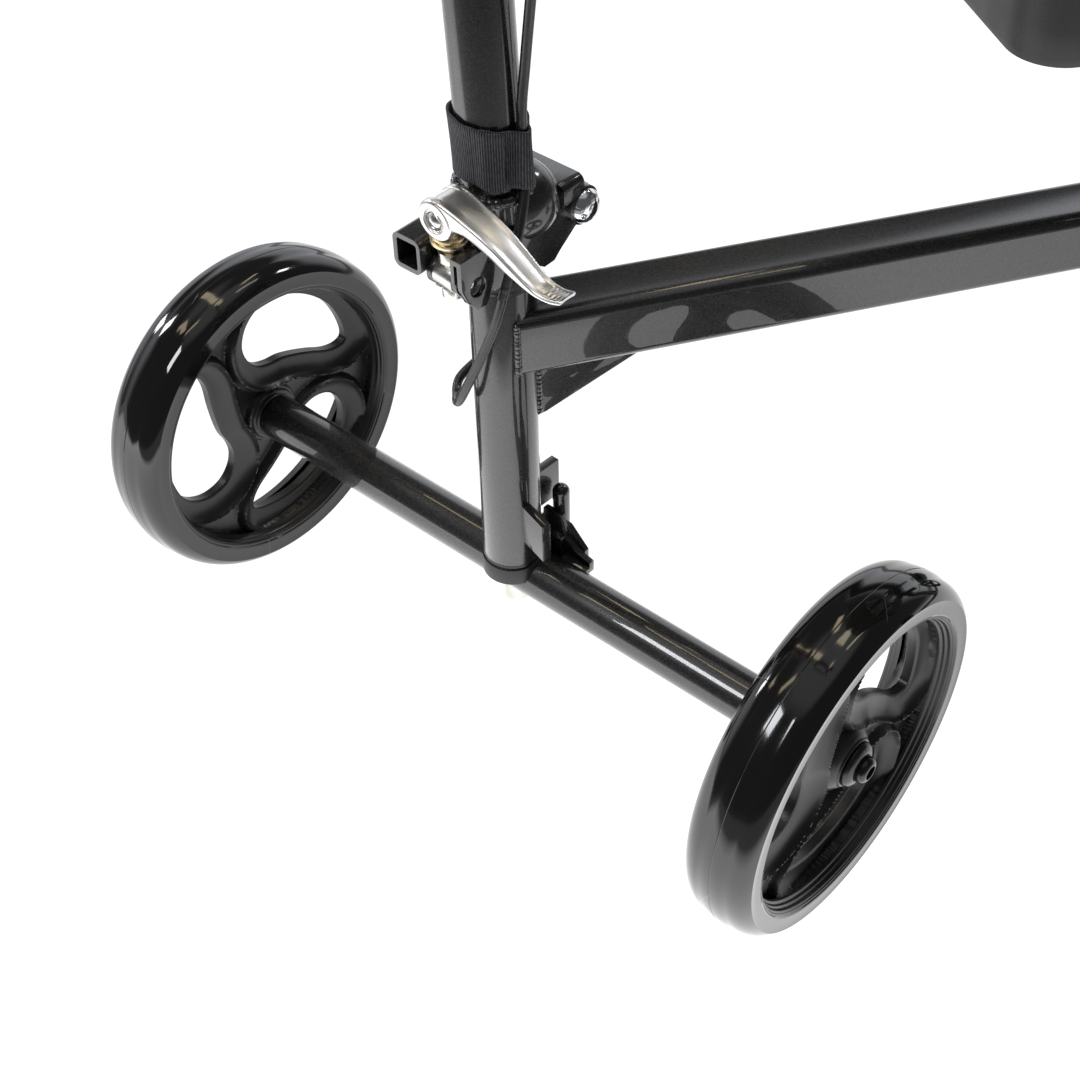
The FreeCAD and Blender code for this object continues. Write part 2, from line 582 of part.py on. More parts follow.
LEVER_SWING = 100.0        # degrees a quick lever opens


def screw_slot(x, y, z):
    """Room in the cam for its screw while the lever swings from closed to open."""
    pivot, half = vec(x, y, z), 3.1
    sweep = Part.makeCylinder(26.0, 2 * half, vec(x, y, z - half), vec(0, 0, 1), LEVER_SWING)
    sweep = turned(sweep, pivot, vec(0, 0, 1), 180.0 - LEVER_SWING)
    closed = box(x - 26.0, x, y - half, y + half, z - half, z + half)
    opened = turned(closed, pivot, vec(0, 0, 1), -LEVER_SWING)
    return fuse(sweep, closed, opened, cylinder(3.3, vec(x, y, z - half), vec(x, y, z + half)))


def quick_lever(x, y, z, length):
    """Cam on an upright pin outside a clamp ear, with a flat handle that wraps rearwards."""
    cam = cylinder(6.5, vec(x, y, z - 8), vec(x, y, z + 8))
    handle = plate_y([(x - 2, z - 6), (x + 6.5, z - 6), (x + 6.5, z + 6), (x - 2, z + 6)],
                     y - length, y)
    handle = round_edges(handle, 2.0, 1)
    tip = box(x + 2, x + 6.5, y - length - 12, y - length + 1, z - 6, z + 6)
    return fuse(cam, handle, tip).cut(screw_slot(x, y, z))


height_lever = quick_lever(16.0, HEIGHT_SCREW_Y, LEVER_Z, 46.0)
height_lever = height_lever.cut(cylinder(19.9, vec(0, 0, CLAMP_Z0 - 2), vec(0, 0, CLAMP_Z1 + 2)))
height_lever = height_lever.cut(box(-12.0, 9.4, 10, 40, CLAMP_Z0, CLAMP_Z1))
column_part("height_lever", max(height_lever.Solids, key=lambda s: s.Volume))


# ---- handlebar ----------------------------------------------------------------------------------
stem_tube = tube(STEM_TUBE_R, STEM_TUBE_R - BAR_WALL, vec(0, 0, STEM_TUBE_Z0),
                 vec(0, 0, STEM_TUBE_Z1))
column_part("stem_tube", stem_tube)
BAR_RISE = 34.0
SWEEP = 14.0
grip_in = BAR_HALF - GRIP_LEN
bar_route = [(-BAR_HALF, SWEEP, BAR_Z + BAR_RISE), (-grip_in + 10, 2.0, BAR_Z + BAR_RISE),
             (-60, 0, BAR_Z), (60, 0, BAR_Z),
             (grip_in - 10, 2.0, BAR_Z + BAR_RISE), (BAR_HALF, SWEEP, BAR_Z + BAR_RISE)]
BAR_BEND_R = 45.0
bar_solid = swept_round(bar_route, BAR_R, BAR_BEND_R)
bar_hollow = swept_round(bar_route, BAR_R - BAR_WALL, BAR_BEND_R)
column_part("handlebar", bar_solid.cut(bar_hollow))
head_clamp = fuse(cylinder(17.0, vec(-19, 0, BAR_Z), vec(19, 0, BAR_Z)),
                  cylinder(16.0, vec(0, 0, STEM_TUBE_Z1 - 22), vec(0, 0, BAR_Z)))
head_clamp = head_clamp.cut(cylinder(BAR_R, vec(-30, 0, BAR_Z), vec(30, 0, BAR_Z)))
head_clamp = head_clamp.cut(cylinder(STEM_TUBE_R, vec(0, 0, 800), vec(0, 0, STEM_TUBE_Z1)))
clamp_screws = group(*[cylinder(3.5, vec(x, -19.0, BAR_Z + dz), vec(x, -14.5, BAR_Z + dz))
                       .cut(cylinder(17.0, vec(-19, 0, BAR_Z), vec(19, 0, BAR_Z)))
                       for x in (-12, 12) for dz in (-4.5, 4.5)])
column_part("bar_clamp", group(head_clamp, *clamp_screws.Solids))


def grip(side):
    inner = vec(side * (grip_in + 2), SWEEP * 0.22 + 1.0, BAR_Z + BAR_RISE)
    outer = vec(side * BAR_HALF, SWEEP, BAR_Z + BAR_RISE)
    way = (outer - inner).normalize()
    body = cylinder(GRIP_R, inner, outer + way * 3.0)
    flange = cylinder(GRIP_R + 4.0, inner, inner + way * 4.0)
    return fuse(body, flange).cut(bar_solid)


column_part("left_grip", grip(1))
column_part("right_grip", grip(-1))

PERCH_X = 112.0
perch_z = BAR_Z + 25.0
perch_ring = cylinder(15.0, vec(PERCH_X - 8, 1.2, perch_z - 4.5), vec(PERCH_X + 8, 1.2, perch_z + 4.5))
perch = fuse(perch_ring, box(PERCH_X - 8, PERCH_X + 20, -38.0, -6.0, perch_z - 9, perch_z + 9))
LEVER_X, LEVER_Y = PERCH_X + 13.0, -32.0
lever_gap = box(PERCH_X + 5, PERCH_X + 30, -44.0, -20.0, perch_z - 5.4, perch_z + 5.4)
lever_pin = cylinder(3.0, vec(LEVER_X, LEVER_Y, perch_z - 9), vec(LEVER_X, LEVER_Y, perch_z + 9))
perch = perch.cut(bar_solid).cut(lever_gap).cut(lever_pin)
barrel = cylinder(4.5, vec(PERCH_X - 8.0, -27.0, perch_z), vec(PERCH_X - 20.0, -27.0, perch_z))
perch = max(perch.Solids, key=lambda s: s.Volume)
column_part("brake_perch", group(fuse(perch, barrel), lever_pin))
blade_route = [(LEVER_X, LEVER_Y, perch_z), (LEVER_X + 34, LEVER_Y - 22, perch_z + 1),
               (LEVER_X + 80, LEVER_Y - 17, perch_z + 4), (LEVER_X + 106, LEVER_Y - 15, perch_z + 5)]
blade = fuse(swept_round(blade_route, 5.0, 40.0), Part.makeSphere(6.5, vec(*blade_route[-1])),
             cylinder(7.0, vec(LEVER_X, LEVER_Y, perch_z - 5), vec(LEVER_X, LEVER_Y, perch_z + 5)))
blade = blade.cut(cylinder(3.0 + RUN_FIT, vec(LEVER_X, LEVER_Y, 800), vec(LEVER_X, LEVER_Y, 950)))
column_part("brake_lever", blade)


# ---- strap round the column and cable -----------------------------------------------------------
STRAP_Z, STRAP_H = 364.0, 27.0
strap_core = fuse(cylinder(COLUMN_R + 2.4, vec(0, 0, STRAP_Z - STRAP_H / 2),
                           vec(0, 0, STRAP_Z + STRAP_H / 2)),
                  cylinder(5.4, vec(17.2, 1.5, STRAP_Z - STRAP_H / 2),
                           vec(17.2, 1.5, STRAP_Z + STRAP_H / 2)))
strap_core = strap_core.cut(cylinder(COLUMN_R, vec(0, 0, 300), vec(0, 0, 420)))
strap_core = strap_core.cut(cylinder(3.2, vec(17.9, 1.5, 300), vec(17.9, 1.5, 420)))
column_part("cable_strap", strap_core)


# ---- brake cable, in the turned steering frame, then along the beam ------------------------------
def lean_point(point):
    """Where a point drawn on the upright column ends up after the lean."""
    angle = math.radians(COLUMN_LEAN_DEG)
    rise = point[2] - COLUMN_PIVOT_Z
    return (point[0], point[1] * math.cos(angle) - rise * math.sin(angle),
            COLUMN_PIVOT_Z + point[1] * math.sin(angle) + rise * math.cos(angle))


def steer_point(point):
    """Where a straight-ahead point ends up with the steering at its rest angle."""
    angle = math.radians(STEER_REST_DEG)
    return (point[0] * math.cos(angle) - point[1] * math.sin(angle),
            point[0] * math.sin(angle) + point[1] * math.cos(angle) + HEAD_Y, point[2])


upper_route = [lean_point(p) for p in (
    (PERCH_X - 20, -27, BAR_Z + 25), (78, -28, 872), (66, -30, 842), (64, -26, 800), (66, -19, 750),
    (65, -11, 696), (60, -3, 640), (52, 2, 586), (43, 4, 534), (34, 4, 484), (26, 4, 440),
    (20.5, 3, 404), (17.9, 1.5, 380), (17.9, 1.5, 349))]
fold_route = [lean_point((17.9, 1.5, 349)), (20.4, -5.0, 341), (22.6, -12, 327), (22.4, -16.5, 314),
              (21.0, -19.5, 302)]
loop_route = [(21.0, -19.5, 302), (17.5, -22.5, 285), (9, -25, 262), (0.5, -26, 243), (-9, -23.5, 226),
              (-19, -15, 217), (-26, -4, 220)]
loop_route = [steer_point(p) for p in loop_route]
beam_side = -(BEAM_W / 2 + CABLE_R + 0.6)
LUG_X, LUG_Z = -160.0, 195.0    # cable stop on the brake arm


def beam_line(y, drop=6.0):
    return (beam_side, y + HEAD_Y, BEAM_Z + BEAM_PITCH * y - drop)


def swept_cable(route):
    """Round cable along the route, held back a little at both ends from the next piece."""
    route = [vec(*p) for p in route]
    first = (route[1] - route[0]).normalize()
    last = (route[-2] - route[-1]).normalize()
    route[0] = route[0] + first * CABLE_END_GAP
    route[-1] = route[-1] + last * CABLE_END_GAP
    solid = swept_round(route, CABLE_R)
    path = arc_path(route)
    radii = [round(edge.Curve.Radius) for edge in path.Edges if hasattr(edge.Curve, "Radius")]
    ratio = solid.Volume / (math.pi * CABLE_R ** 2 * path.Length)
    print("cable run", round(path.Length, 1), "mm, volume ratio", round(ratio, 4), "radii", radii)
    return solid


steer_part("cable_upper", swept_cable(upper_route))
steer_part("cable_hinge", swept_cable(fold_route))
cross_route = loop_route + [(-27.5, HEAD_Y + 1, 229), (-26.0, HEAD_Y + 20, 241),
                            beam_line(42)]
parts["cable_loop"] = swept_cable(cross_route)
run_ys = [42 + 54 * n for n in range(8)]
cable_end = (LUG_X, REAR_Y - 86.0 + HEAD_Y, LUG_Z)
beam_run = [beam_line(y, 6.0 + (0.5 if n % 2 else 0.0)) for n, y in enumerate(run_ys)]
beam_run += [(beam_side - 6, 462 + HEAD_Y, 262), (beam_side - 26, 492 + HEAD_Y, 245),
             (-80, 496 + HEAD_Y, 232), (-112, 472 + HEAD_Y, 217), (-142, 450 + HEAD_Y, 203),
             (LUG_X, 462 + HEAD_Y, 197), cable_end]
parts["cable_frame"] = swept_cable(beam_run)

clip_ys = (70, 178, 300)
clips = []
for y in clip_ys:
    x, yy, z = beam_line(y, 6.2)
    ring = tube(CABLE_R + 2.0, CABLE_R + 0.5, vec(x, yy - 4, z - 4 * BEAM_PITCH),
                vec(x, yy + 4, z + 4 * BEAM_PITCH))
    clips.append(ring.cut(box(-BEAM_W / 2, 30, yy - 20, yy + 20, 200, 330)))
parts["cable_clips"] = group(*clips)


# ---- rear brake: an arm with a shoe that presses on the right rear tyre ---------------------------
ARM_Y, ARM_Z = REAR_Y - 84.0, 126.0
arm_x0, arm_x1 = -172.0, -166.0
bracket = plate_x([(REAR_Y - 14, 88), (REAR_Y - 8, 113), (REAR_Y - 34, 150), (REAR_Y - 34, 204),
                   (REAR_Y - 46, 204), (REAR_Y - 52, 146), (ARM_Y - 9, ARM_Z + 8),
                   (ARM_Y - 9, ARM_Z - 9), (REAR_Y - 60, 104)], arm_x1 + 0.6, arm_x1 + 5.6)
anchor = cylinder(5.0, vec(arm_x1 + 5.6, REAR_Y - 40, LUG_Z), vec(arm_x1 + 10.0, REAR_Y - 40, LUG_Z))
stop = fuse(bracket.cut(crossbar_core(REAR_Y)), anchor)
wire_start = vec(LUG_X, REAR_Y - 85.5, LUG_Z)
wire_end = vec(LUG_X, REAR_Y - 34.0, LUG_Z)
wire = cylinder(WIRE_R, wire_start, wire_end)
stop = stop.cut(cylinder(WIRE_R + SOFT_GAP, wire_start, wire_end + vec(0, 1, 0)))
ARM_PIN_R = 4.0
arm_pin = across(ARM_PIN_R, arm_x0 - 4, arm_x1 + 8.6, ARM_Y, ARM_Z)
frame_part("brake_bracket", group(stop.cut(arm_pin), arm_pin))
frame_part("brake_wire", wire)
arm_plate = plate_x([(ARM_Y - 8, ARM_Z - 8), (ARM_Y + 8, ARM_Z - 6), (ARM_Y + 3, ARM_Z + 30),
                     (ARM_Y + 16, ARM_Z + 74), (ARM_Y + 6, ARM_Z + 76), (ARM_Y - 10, ARM_Z + 32)],
                    arm_x0, arm_x1)
SHOE_X0, SHOE_X1 = -220.0, -172.0
SHOE_GAP = 2.0
shoe_ring = tube(WHEEL_R + SHOE_GAP + 12, WHEEL_R + SHOE_GAP, vec(SHOE_X0, REAR_Y, AXLE_Z),
                 vec(-186.0, REAR_Y, AXLE_Z))
shoe_box = box(SHOE_X0, -186.0, REAR_Y - 140, REAR_Y - 84, 133.0, 168.0)
shoe = shoe_ring.common(shoe_box)
shoe_carrier = box(-200.0, arm_x0, ARM_Y - 20.0, ARM_Y + 2.0, 144.0, 156.0)
shoe_carrier = shoe_carrier.cut(cylinder(WHEEL_R + SHOE_GAP + 11.9, vec(-230, REAR_Y, AXLE_Z),
                                         vec(-181.0, REAR_Y, AXLE_Z)))
shoe_carrier = max(shoe_carrier.Solids, key=lambda s: s.Volume)
lug = cylinder(5.0, vec(LUG_X, REAR_Y - 85.0, LUG_Z), vec(LUG_X, REAR_Y - 68.0, LUG_Z))
lug = fuse(lug, box(arm_x0, LUG_X, REAR_Y - 84.0, REAR_Y - 69.0, LUG_Z - 5.0, LUG_Z + 5.0))
lug = lug.cut(cylinder(WIRE_R + SOFT_GAP, wire_start, wire_end))
arm_solid = fuse(arm_plate, shoe_carrier, lug).cut(shoe)
arm_solid = arm_solid.cut(across(ARM_PIN_R + RUN_FIT, -250, -100, ARM_Y, ARM_Z))
frame_part("brake_arm", max(arm_solid.Solids, key=lambda s: s.Volume))
frame_part("brake_shoe", max(shoe.Solids, key=lambda s: s.Volume))


# ---- knee pad ----------------------------------------------------------------------------------
SLEEVE_Z0, SLEEVE_Z1 = 221.0, 330.0
POST_Z0, POST_Z1 = 275.0, 408.0
PAD_POST_WALL = 2.0
PAD_SCREW_Y = PAD_POST_Y + 30.0
frame_part("pad_sleeve", tube(PAD_SLEEVE_R, PAD_POST_R + RUN_FIT, vec(0, PAD_POST_Y, SLEEVE_Z0),
                              vec(0, PAD_POST_Y, SLEEVE_Z1)))
post = tube(PAD_POST_R, PAD_POST_R - PAD_POST_WALL, vec(0, PAD_POST_Y, POST_Z0),
            vec(0, PAD_POST_Y, POST_Z1))
PC_Z0, PC_Z1 = 304.0, 331.0
pad_clamp = fuse(upright(22.0, 0, PAD_POST_Y, PC_Z0, PC_Z1),
                 box(-9.0, 9.0, PAD_POST_Y + 16.0, PAD_POST_Y + 37.0, PC_Z0 + 3, PC_Z1 - 3))
pad_clamp = pad_clamp.cut(upright(PAD_SLEEVE_R, 0, PAD_POST_Y, 300, 340))
pad_clamp = pad_clamp.cut(box(-1.2, 1.2, PAD_POST_Y + 16, PAD_POST_Y + 40, 300, 340))
PL_Z = (PC_Z0 + PC_Z1) / 2
pad_screw = clamp_screw(PAD_SCREW_Y, PL_Z)
frame_part("pad_clamp", group(pad_clamp.cut(pad_screw), pad_screw))
pad_lever = quick_lever(16.0, PAD_SCREW_Y, PL_Z, 50.0)
pad_lever = pad_lever.cut(upright(22.4, 0, PAD_POST_Y, 290, 345))
pad_lever = pad_lever.cut(box(-12.0, 9.4, PAD_POST_Y + 10, PAD_POST_Y + 40, 290, 345))
frame_part("pad_lever", max(pad_lever.Solids, key=lambda s: s.Volume))

plate_z = PAD_Z0 - 4.0
pad_plate = rounded_box(-42, 42, PAD_POST_Y - 62, PAD_POST_Y + 74, plate_z, PAD_Z0, 12.0, 2)
frame_part("pad_post", fuse(post, pad_plate))
pan = rounded_box(-PAD_HALF_W, PAD_HALF_W, PAD_Y0, PAD_Y1, PAD_Z0, PAD_Z0 + PAD_PAN_H, 34.0, 2)
bottom_edges = [e for e in pan.Edges if abs(e.BoundBox.ZMax - PAD_Z0) < 0.01]
pan = pan.makeFillet(10.0, bottom_edges)
pan_hollow = rounded_box(-PAD_HALF_W + 4, PAD_HALF_W - 4, PAD_Y0 + 4, PAD_Y1 - 4, PAD_Z0 + 5,
                         PAD_Z0 + PAD_PAN_H + 5, 30.0, 2)
frame_part("pad_pan", pan.cut(pan_hollow))
cushion = rounded_box(-PAD_HALF_W + 2, PAD_HALF_W - 2, PAD_Y0 + 2, PAD_Y1 - 2,
                      PAD_Z0 + PAD_PAN_H + SOFT_GAP, PAD_Z0 + PAD_PAN_H + PAD_CUSHION_H, 34.0, 2)
top_edges = [e for e in cushion.Edges
             if e.BoundBox.ZMin > PAD_Z0 + PAD_PAN_H + PAD_CUSHION_H - 0.01]
cushion = cushion.makeFillet(14.0, top_edges)
frame_part("pad_cushion", cushion)
pad_bolts = [cylinder(5.5, vec(x, y, plate_z - 4), vec(x, y, plate_z))
             for x in (-30, 30) for y in (PAD_POST_Y - 48, PAD_POST_Y + 60)]
frame_part("pad_bolts", group(*pad_bolts))

for name, shape in sorted(parts.items()):
    bad = [s for s in shape.Solids if not s.isValid()]
    if bad or not shape.Solids:
        print("CHECK", name, "solids", len(shape.Solids), "bad", len(bad))
    shape.exportStep("parts/" + name + ".step")
print(len(parts), "parts")
whole = FreeCAD.BoundBox()
for shape in parts.values():
    whole.add(shape.BoundBox)
print("box", [round(v, 2) for v in (whole.XMin, whole.XMax, whole.YMin, whole.YMax,
                                    whole.ZMin, whole.ZMax)])
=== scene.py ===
import json
import math
import bmesh
import bpy
import numpy as np
from mathutils import Matrix, Vector, geometry


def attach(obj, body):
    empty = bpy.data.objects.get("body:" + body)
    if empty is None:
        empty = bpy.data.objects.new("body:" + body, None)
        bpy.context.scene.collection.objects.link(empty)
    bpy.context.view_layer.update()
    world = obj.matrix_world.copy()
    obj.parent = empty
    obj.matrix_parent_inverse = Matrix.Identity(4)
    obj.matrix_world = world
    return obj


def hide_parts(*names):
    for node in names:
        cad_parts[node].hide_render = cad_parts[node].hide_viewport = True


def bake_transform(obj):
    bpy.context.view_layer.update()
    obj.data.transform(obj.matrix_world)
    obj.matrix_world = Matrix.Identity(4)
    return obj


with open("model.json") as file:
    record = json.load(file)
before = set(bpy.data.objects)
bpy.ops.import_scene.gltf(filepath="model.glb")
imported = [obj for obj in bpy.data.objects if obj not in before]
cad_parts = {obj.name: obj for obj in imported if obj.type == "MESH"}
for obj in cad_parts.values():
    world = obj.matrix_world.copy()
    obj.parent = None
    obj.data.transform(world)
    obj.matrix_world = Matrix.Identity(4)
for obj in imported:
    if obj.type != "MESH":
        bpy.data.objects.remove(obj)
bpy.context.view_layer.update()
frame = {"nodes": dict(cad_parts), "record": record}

# ---- the CAD model's own dimensions, in millimetres ---------------------------------------------
WHEEL_R = 100.0
HALF_TRACK = 203.0
AXLE_OFFSET = 5.9
REAR_Y = 565.9
HEAD_Y = -232.6
STEER_DEG = 35.3
LEAN_DEG = 2.7
LEAN_Z = 300.0
COLUMN_R = 14.7
BEAM_Z, BEAM_PITCH, BEAM_W, BEAM_H = 258.3, 0.0384, 33.0, 34.4
SWING_X, SWING_Y, SWING_Z, CAM_Z = 0.0, -31.0, 308.0, 339.7
FOLD_Y, FOLD_Z, FOLD_X0, FOLD_X1 = 36.0, 319.0, -30.0, 20.0
CABLE_R, WIRE_R = 2.3, 0.8
STRAP_H, STRAP_Z, STRAP_RIBS = 28.0, 362.0, 118
BAR_Z, BAR_RISE, BAR_HALF, SWEEP = 852.0, 34.0, 263.0, 14.0
PAD_HALF_W, PAD_Y0, PAD_Y1, PAD_Z0, PAD_PAN_H, PAD_TOP = 95.0, 194.0, 574.0, 412.0, 52.0, 498.0
WHEELS = (("front_left", "steer", 1, AXLE_OFFSET, -19), ("front_right", "steer", -1, AXLE_OFFSET, 0),
          ("rear_left", "frame", 1, REAR_Y, 40), ("rear_right", "frame", -1, REAR_Y, 85))

MM = Matrix.Scale(0.001, 4)
FRAME = MM @ Matrix.Translation((0, HEAD_Y, 0))
STEER = FRAME @ Matrix.Rotation(math.radians(STEER_DEG), 4, "Z")
LEAN = (STEER @ Matrix.Translation((0, 0, LEAN_Z)) @ Matrix.Rotation(math.radians(LEAN_DEG), 4, "X")
        @ Matrix.Translation((0, 0, -LEAN_Z)))
PLACES = {"frame": FRAME, "steer": STEER, "lean": LEAN}


# ---- materials ---------------------------------------------------------------------------------
def join(tree, operation, *sources):
    """A math node over one or two sockets of a node tree."""
    made = tree.nodes.new("ShaderNodeMath")
    made.operation = operation
    for source, into in zip(sources, made.inputs):
        tree.links.new(source, into)
    return made.outputs["Value"]


def spread(tree, source, low, high, from_low=0.0, from_high=1.0):
    """Maps a grey value to another range."""
    made = tree.nodes.new("ShaderNodeMapRange")
    ends = {"From Min": from_low, "From Max": from_high, "To Min": low, "To Max": high}
    for key, value in ends.items():
        made.inputs[key].default_value = value
    tree.links.new(source, made.inputs["Value"])
    return made.outputs["Result"]


class Finish:
    """A node material built up from a Principled surface and procedural detail."""

    def __init__(self, name, colour, rough, metal=0.0, coat=0.0, coat_rough=0.03, ior=1.5, sheen=0.0):
        self.material = bpy.data.materials.new(name)
        self.material.use_nodes = True
        self.tree = self.material.node_tree
        self.surface = self.tree.nodes["Principled BSDF"]
        self.set("Base Color", (*colour, 1))
        self.set("Roughness", rough)
        self.set("Metallic", metal)
        self.set("Coat Weight", coat)
        self.set("Coat Roughness", coat_rough)
        self.set("IOR", ior)
        self.set("Sheen Weight", sheen)
        self.normal = None
        self.place = self.node("ShaderNodeTexCoord").outputs["Object"]

    def set(self, name, value):
        self.surface.inputs[name].default_value = value

    def node(self, kind, **values):
        made = self.tree.nodes.new(kind)
        for key, value in values.items():
            key = key.replace("_", " ")
            if key in made.inputs:
                made.inputs[key].default_value = value
        return made

    def link(self, out, into):
        self.tree.links.new(out, into)

    def scaled(self, size):
        """Object coordinates stretched by a different factor along each axis."""
        mapping = self.node("ShaderNodeMapping")
        mapping.inputs["Scale"].default_value = size
        self.link(self.place, mapping.inputs["Vector"])
        return mapping.outputs["Vector"]

    def noise(self, scale, detail=4.0, rough=0.55, size=(1, 1, 1), distortion=0.0):
        made = self.node("ShaderNodeTexNoise", Scale=scale, Detail=detail, Roughness=rough,
                         Distortion=distortion)
        self.link(self.scaled(size), made.inputs["Vector"])
        return made.outputs["Fac"]

    def cells(self, scale, feature="F1", output="Distance", size=(1, 1, 1)):
        made = self.node("ShaderNodeTexVoronoi", Scale=scale)
        made.feature = feature
        self.link(self.scaled(size), made.inputs["Vector"])
        return made.outputs[output]

    def ribs_round(self, centre, count):
        """Upright ribs evenly spaced round a vertical line through the centre."""
        mapping = self.node("ShaderNodeMapping")
        mapping.inputs["Location"].default_value = tuple(-v for v in centre)
        self.link(self.place, mapping.inputs["Vector"])
        angle = self.node("ShaderNodeTexGradient")
        angle.gradient_type = "RADIAL"
        self.link(mapping.outputs["Vector"], angle.inputs["Vector"])
        sine = self.join("SINE", self.spread(angle.outputs["Fac"], 0.0, 2 * math.pi * count))
        return self.spread(sine, 0.0, 1.0, -1.0, 1.0)

    def join(self, operation, *sources):
        return join(self.tree, operation, *sources)

    def spread(self, source, *ends):
        return spread(self.tree, source, *ends)

    def tint(self, source, dark, light, low=0.3, high=0.7):
        ramp = self.node("ShaderNodeValToRGB")
        ramp.color_ramp.elements[0].position = low
        ramp.color_ramp.elements[1].position = high
        ramp.color_ramp.elements[0].color = (*dark, 1)
        ramp.color_ramp.elements[1].color = (*light, 1)
        self.link(source, ramp.inputs["Fac"])
        self.link(ramp.outputs["Color"], self.surface.inputs["Base Color"])

    def roughen(self, source, low, high, from_low=0.3, from_high=0.7):
        self.link(self.spread(source, low, high, from_low, from_high), self.surface.inputs["Roughness"])

    def bump(self, source, distance, strength=1.0, coat=False):
        made = self.node("ShaderNodeBump", Distance=distance, Strength=strength)
        self.link(source, made.inputs["Height"])
        if self.normal:
            self.link(self.normal, made.inputs["Normal"])
        self.normal = made.outputs["Normal"]
        self.link(self.normal, self.surface.inputs["Normal"])
        if coat:
            self.link(self.normal, self.surface.inputs["Coat Normal"])
        return self


def black_paint():
    """Deep gloss black with a fine metallic fleck under a clear coat."""
    f = Finish("black_paint", (0.004, 0.004, 0.004), 0.36, coat=1.0, coat_rough=0.02)
    fleck = f.cells(2300, output="Color")
    split = f.node("ShaderNodeSeparateColor")
    f.link(fleck, split.inputs["Color"])
    f.tint(split.outputs["Red"], (0.0035, 0.0033, 0.0034), (0.036, 0.033, 0.032), 0.72, 1.0)
    f.link(f.spread(split.outputs["Green"], 0.26, 0.46), f.surface.inputs["Roughness"])
    orange = f.noise(90, 2.0)
    wave = f.node("ShaderNodeBump", Distance=0.00012, Strength=0.18)
    f.link(orange, wave.inputs["Height"])
    f.link(wave.outputs["Normal"], f.surface.inputs["Coat Normal"])
    return f.material


def tyre_plastic():
    """Glossy cast polyurethane with handling marks and a few hair-fine scratches."""
    f = Finish("tyre_plastic", (0.006, 0.0055, 0.005), 0.12, ior=1.5, coat=0.25, coat_rough=0.03)
    smears = f.noise(14, 5.0, 0.6)
    f.roughen(smears, 0.05, 0.17, 0.4, 0.75)
    scratch = f.cells(13, "DISTANCE_TO_EDGE", "Distance", (1, 1.6, 0.7))
    line = f.spread(scratch, 1.0, 0.0, 0.0, 0.003)
    broken = f.noise(22, 2.0)
    gate = f.spread(broken, 0.0, 1.0, 0.585, 0.61)
    both = f.join("MULTIPLY", line, gate)
    f.tint(both, (0.006, 0.0055, 0.005), (0.16, 0.145, 0.13), 0.0, 1.0)
    f.bump(both, 0.00005, 0.4)
    f.bump(f.noise(30, 2.0), 0.0003, 0.03, coat=True)
    return f.material


def rim_plastic():
    """Injection-moulded black nylon, half gloss, with faint flow marks."""
    f = Finish("rim_plastic", (0.012, 0.0115, 0.011), 0.36, ior=1.5)
    flow = f.noise(30, 6.0, 0.6, (1, 1, 1), 0.6)
    f.roughen(flow, 0.27, 0.4)
    f.tint(flow, (0.008, 0.0075, 0.007), (0.016, 0.015, 0.014))
    f.bump(f.noise(900, 3.0), 0.00003, 0.5)
    f.bump(f.noise(60, 2.0), 0.0002, 0.25)
    return f.material


def satin_black(name="satin_black", colour=(0.018, 0.018, 0.018), rough=0.42, grain=0.00006):
    f = Finish(name, colour, rough)
    cloud = f.noise(45, 5.0)
    f.roughen(cloud, rough - 0.08, rough + 0.08)
    f.tint(cloud, tuple(v * 0.75 for v in colour), tuple(v * 1.35 for v in colour))
    f.bump(f.noise(1200, 3.0), grain, 0.6)
    return f.material


def bright_metal(name, colour, low, high, streak=(1, 1, 1), grain=0.00003):
    """Plated or polished metal with cloudy roughness and faint working marks."""
    f = Finish(name, colour, (low + high) / 2, metal=1.0)
    f.roughen(f.noise(70, 5.0, 0.65), low, high)
    f.tint(f.noise(55, 4.0), tuple(v * 0.86 for v in colour), colour)
    f.bump(f.noise(500, 4.0, 0.6, streak), grain, 0.5)
    return f.material


def zinc():
    f = Finish("zinc", (0.66, 0.64, 0.58), 0.25, metal=1.0)
    f.roughen(f.noise(120, 5.0), 0.16, 0.36)
    f.tint(f.noise(60, 3.0), (0.56, 0.53, 0.44), (0.74, 0.75, 0.76))
    f.bump(f.noise(700, 3.0), 0.00003, 0.5)
    return f.material


def webbing():
    """Woven hook-and-loop strap: fine ribs across its width with a nap. Its colour carries painted shade in
    the rib grooves and a painted highlight on the rib tops, with random tone from the threads.
    """
    f = Finish("webbing", (0.03, 0.03, 0.034), 0.9, sheen=0.12)
    ribs = f.ribs_round((0, HEAD_Y / 1000, 0), STRAP_RIBS)
    threads = f.noise(900, 3.0, 0.6, (1, 1, 0.5))
    rib_relief_and_painted_shade = f.join("MULTIPLY", ribs, threads)
    # painted shade and highlight: rib grooves darker and rib tops lighter than the cloth's black, plus
    # random thread tone
    f.tint(rib_relief_and_painted_shade, (0.014, 0.014, 0.016), (0.15, 0.15, 0.165), 0.08, 0.6)
    f.bump(rib_relief_and_painted_shade, 0.0009, 0.9)
    f.bump(f.noise(2600, 3.0), 0.0002, 0.5)
    return f.material


def vinyl():
    """Black upholstery vinyl with a pebbled grain."""
    f = Finish("vinyl", (0.02, 0.02, 0.021), 0.45)
    pebble = f.cells(620, "SMOOTH_F1")
    f.roughen(pebble, 0.36, 0.58, 0.0, 0.6)
    f.tint(f.noise(25, 4.0), (0.014, 0.014, 0.015), (0.032, 0.031, 0.031))
    f.bump(pebble, 0.0004, 0.55)
    f.bump(f.noise(80, 4.0), 0.0006, 0.25)
    return f.material


def foam_grip():
    f = Finish("foam_grip", (0.025, 0.025, 0.025), 0.8)
    f.tint(f.noise(300, 4.0), (0.015, 0.015, 0.015), (0.05, 0.05, 0.05))
    f.bump(f.cells(900), 0.0003, 0.7)
    return f.material


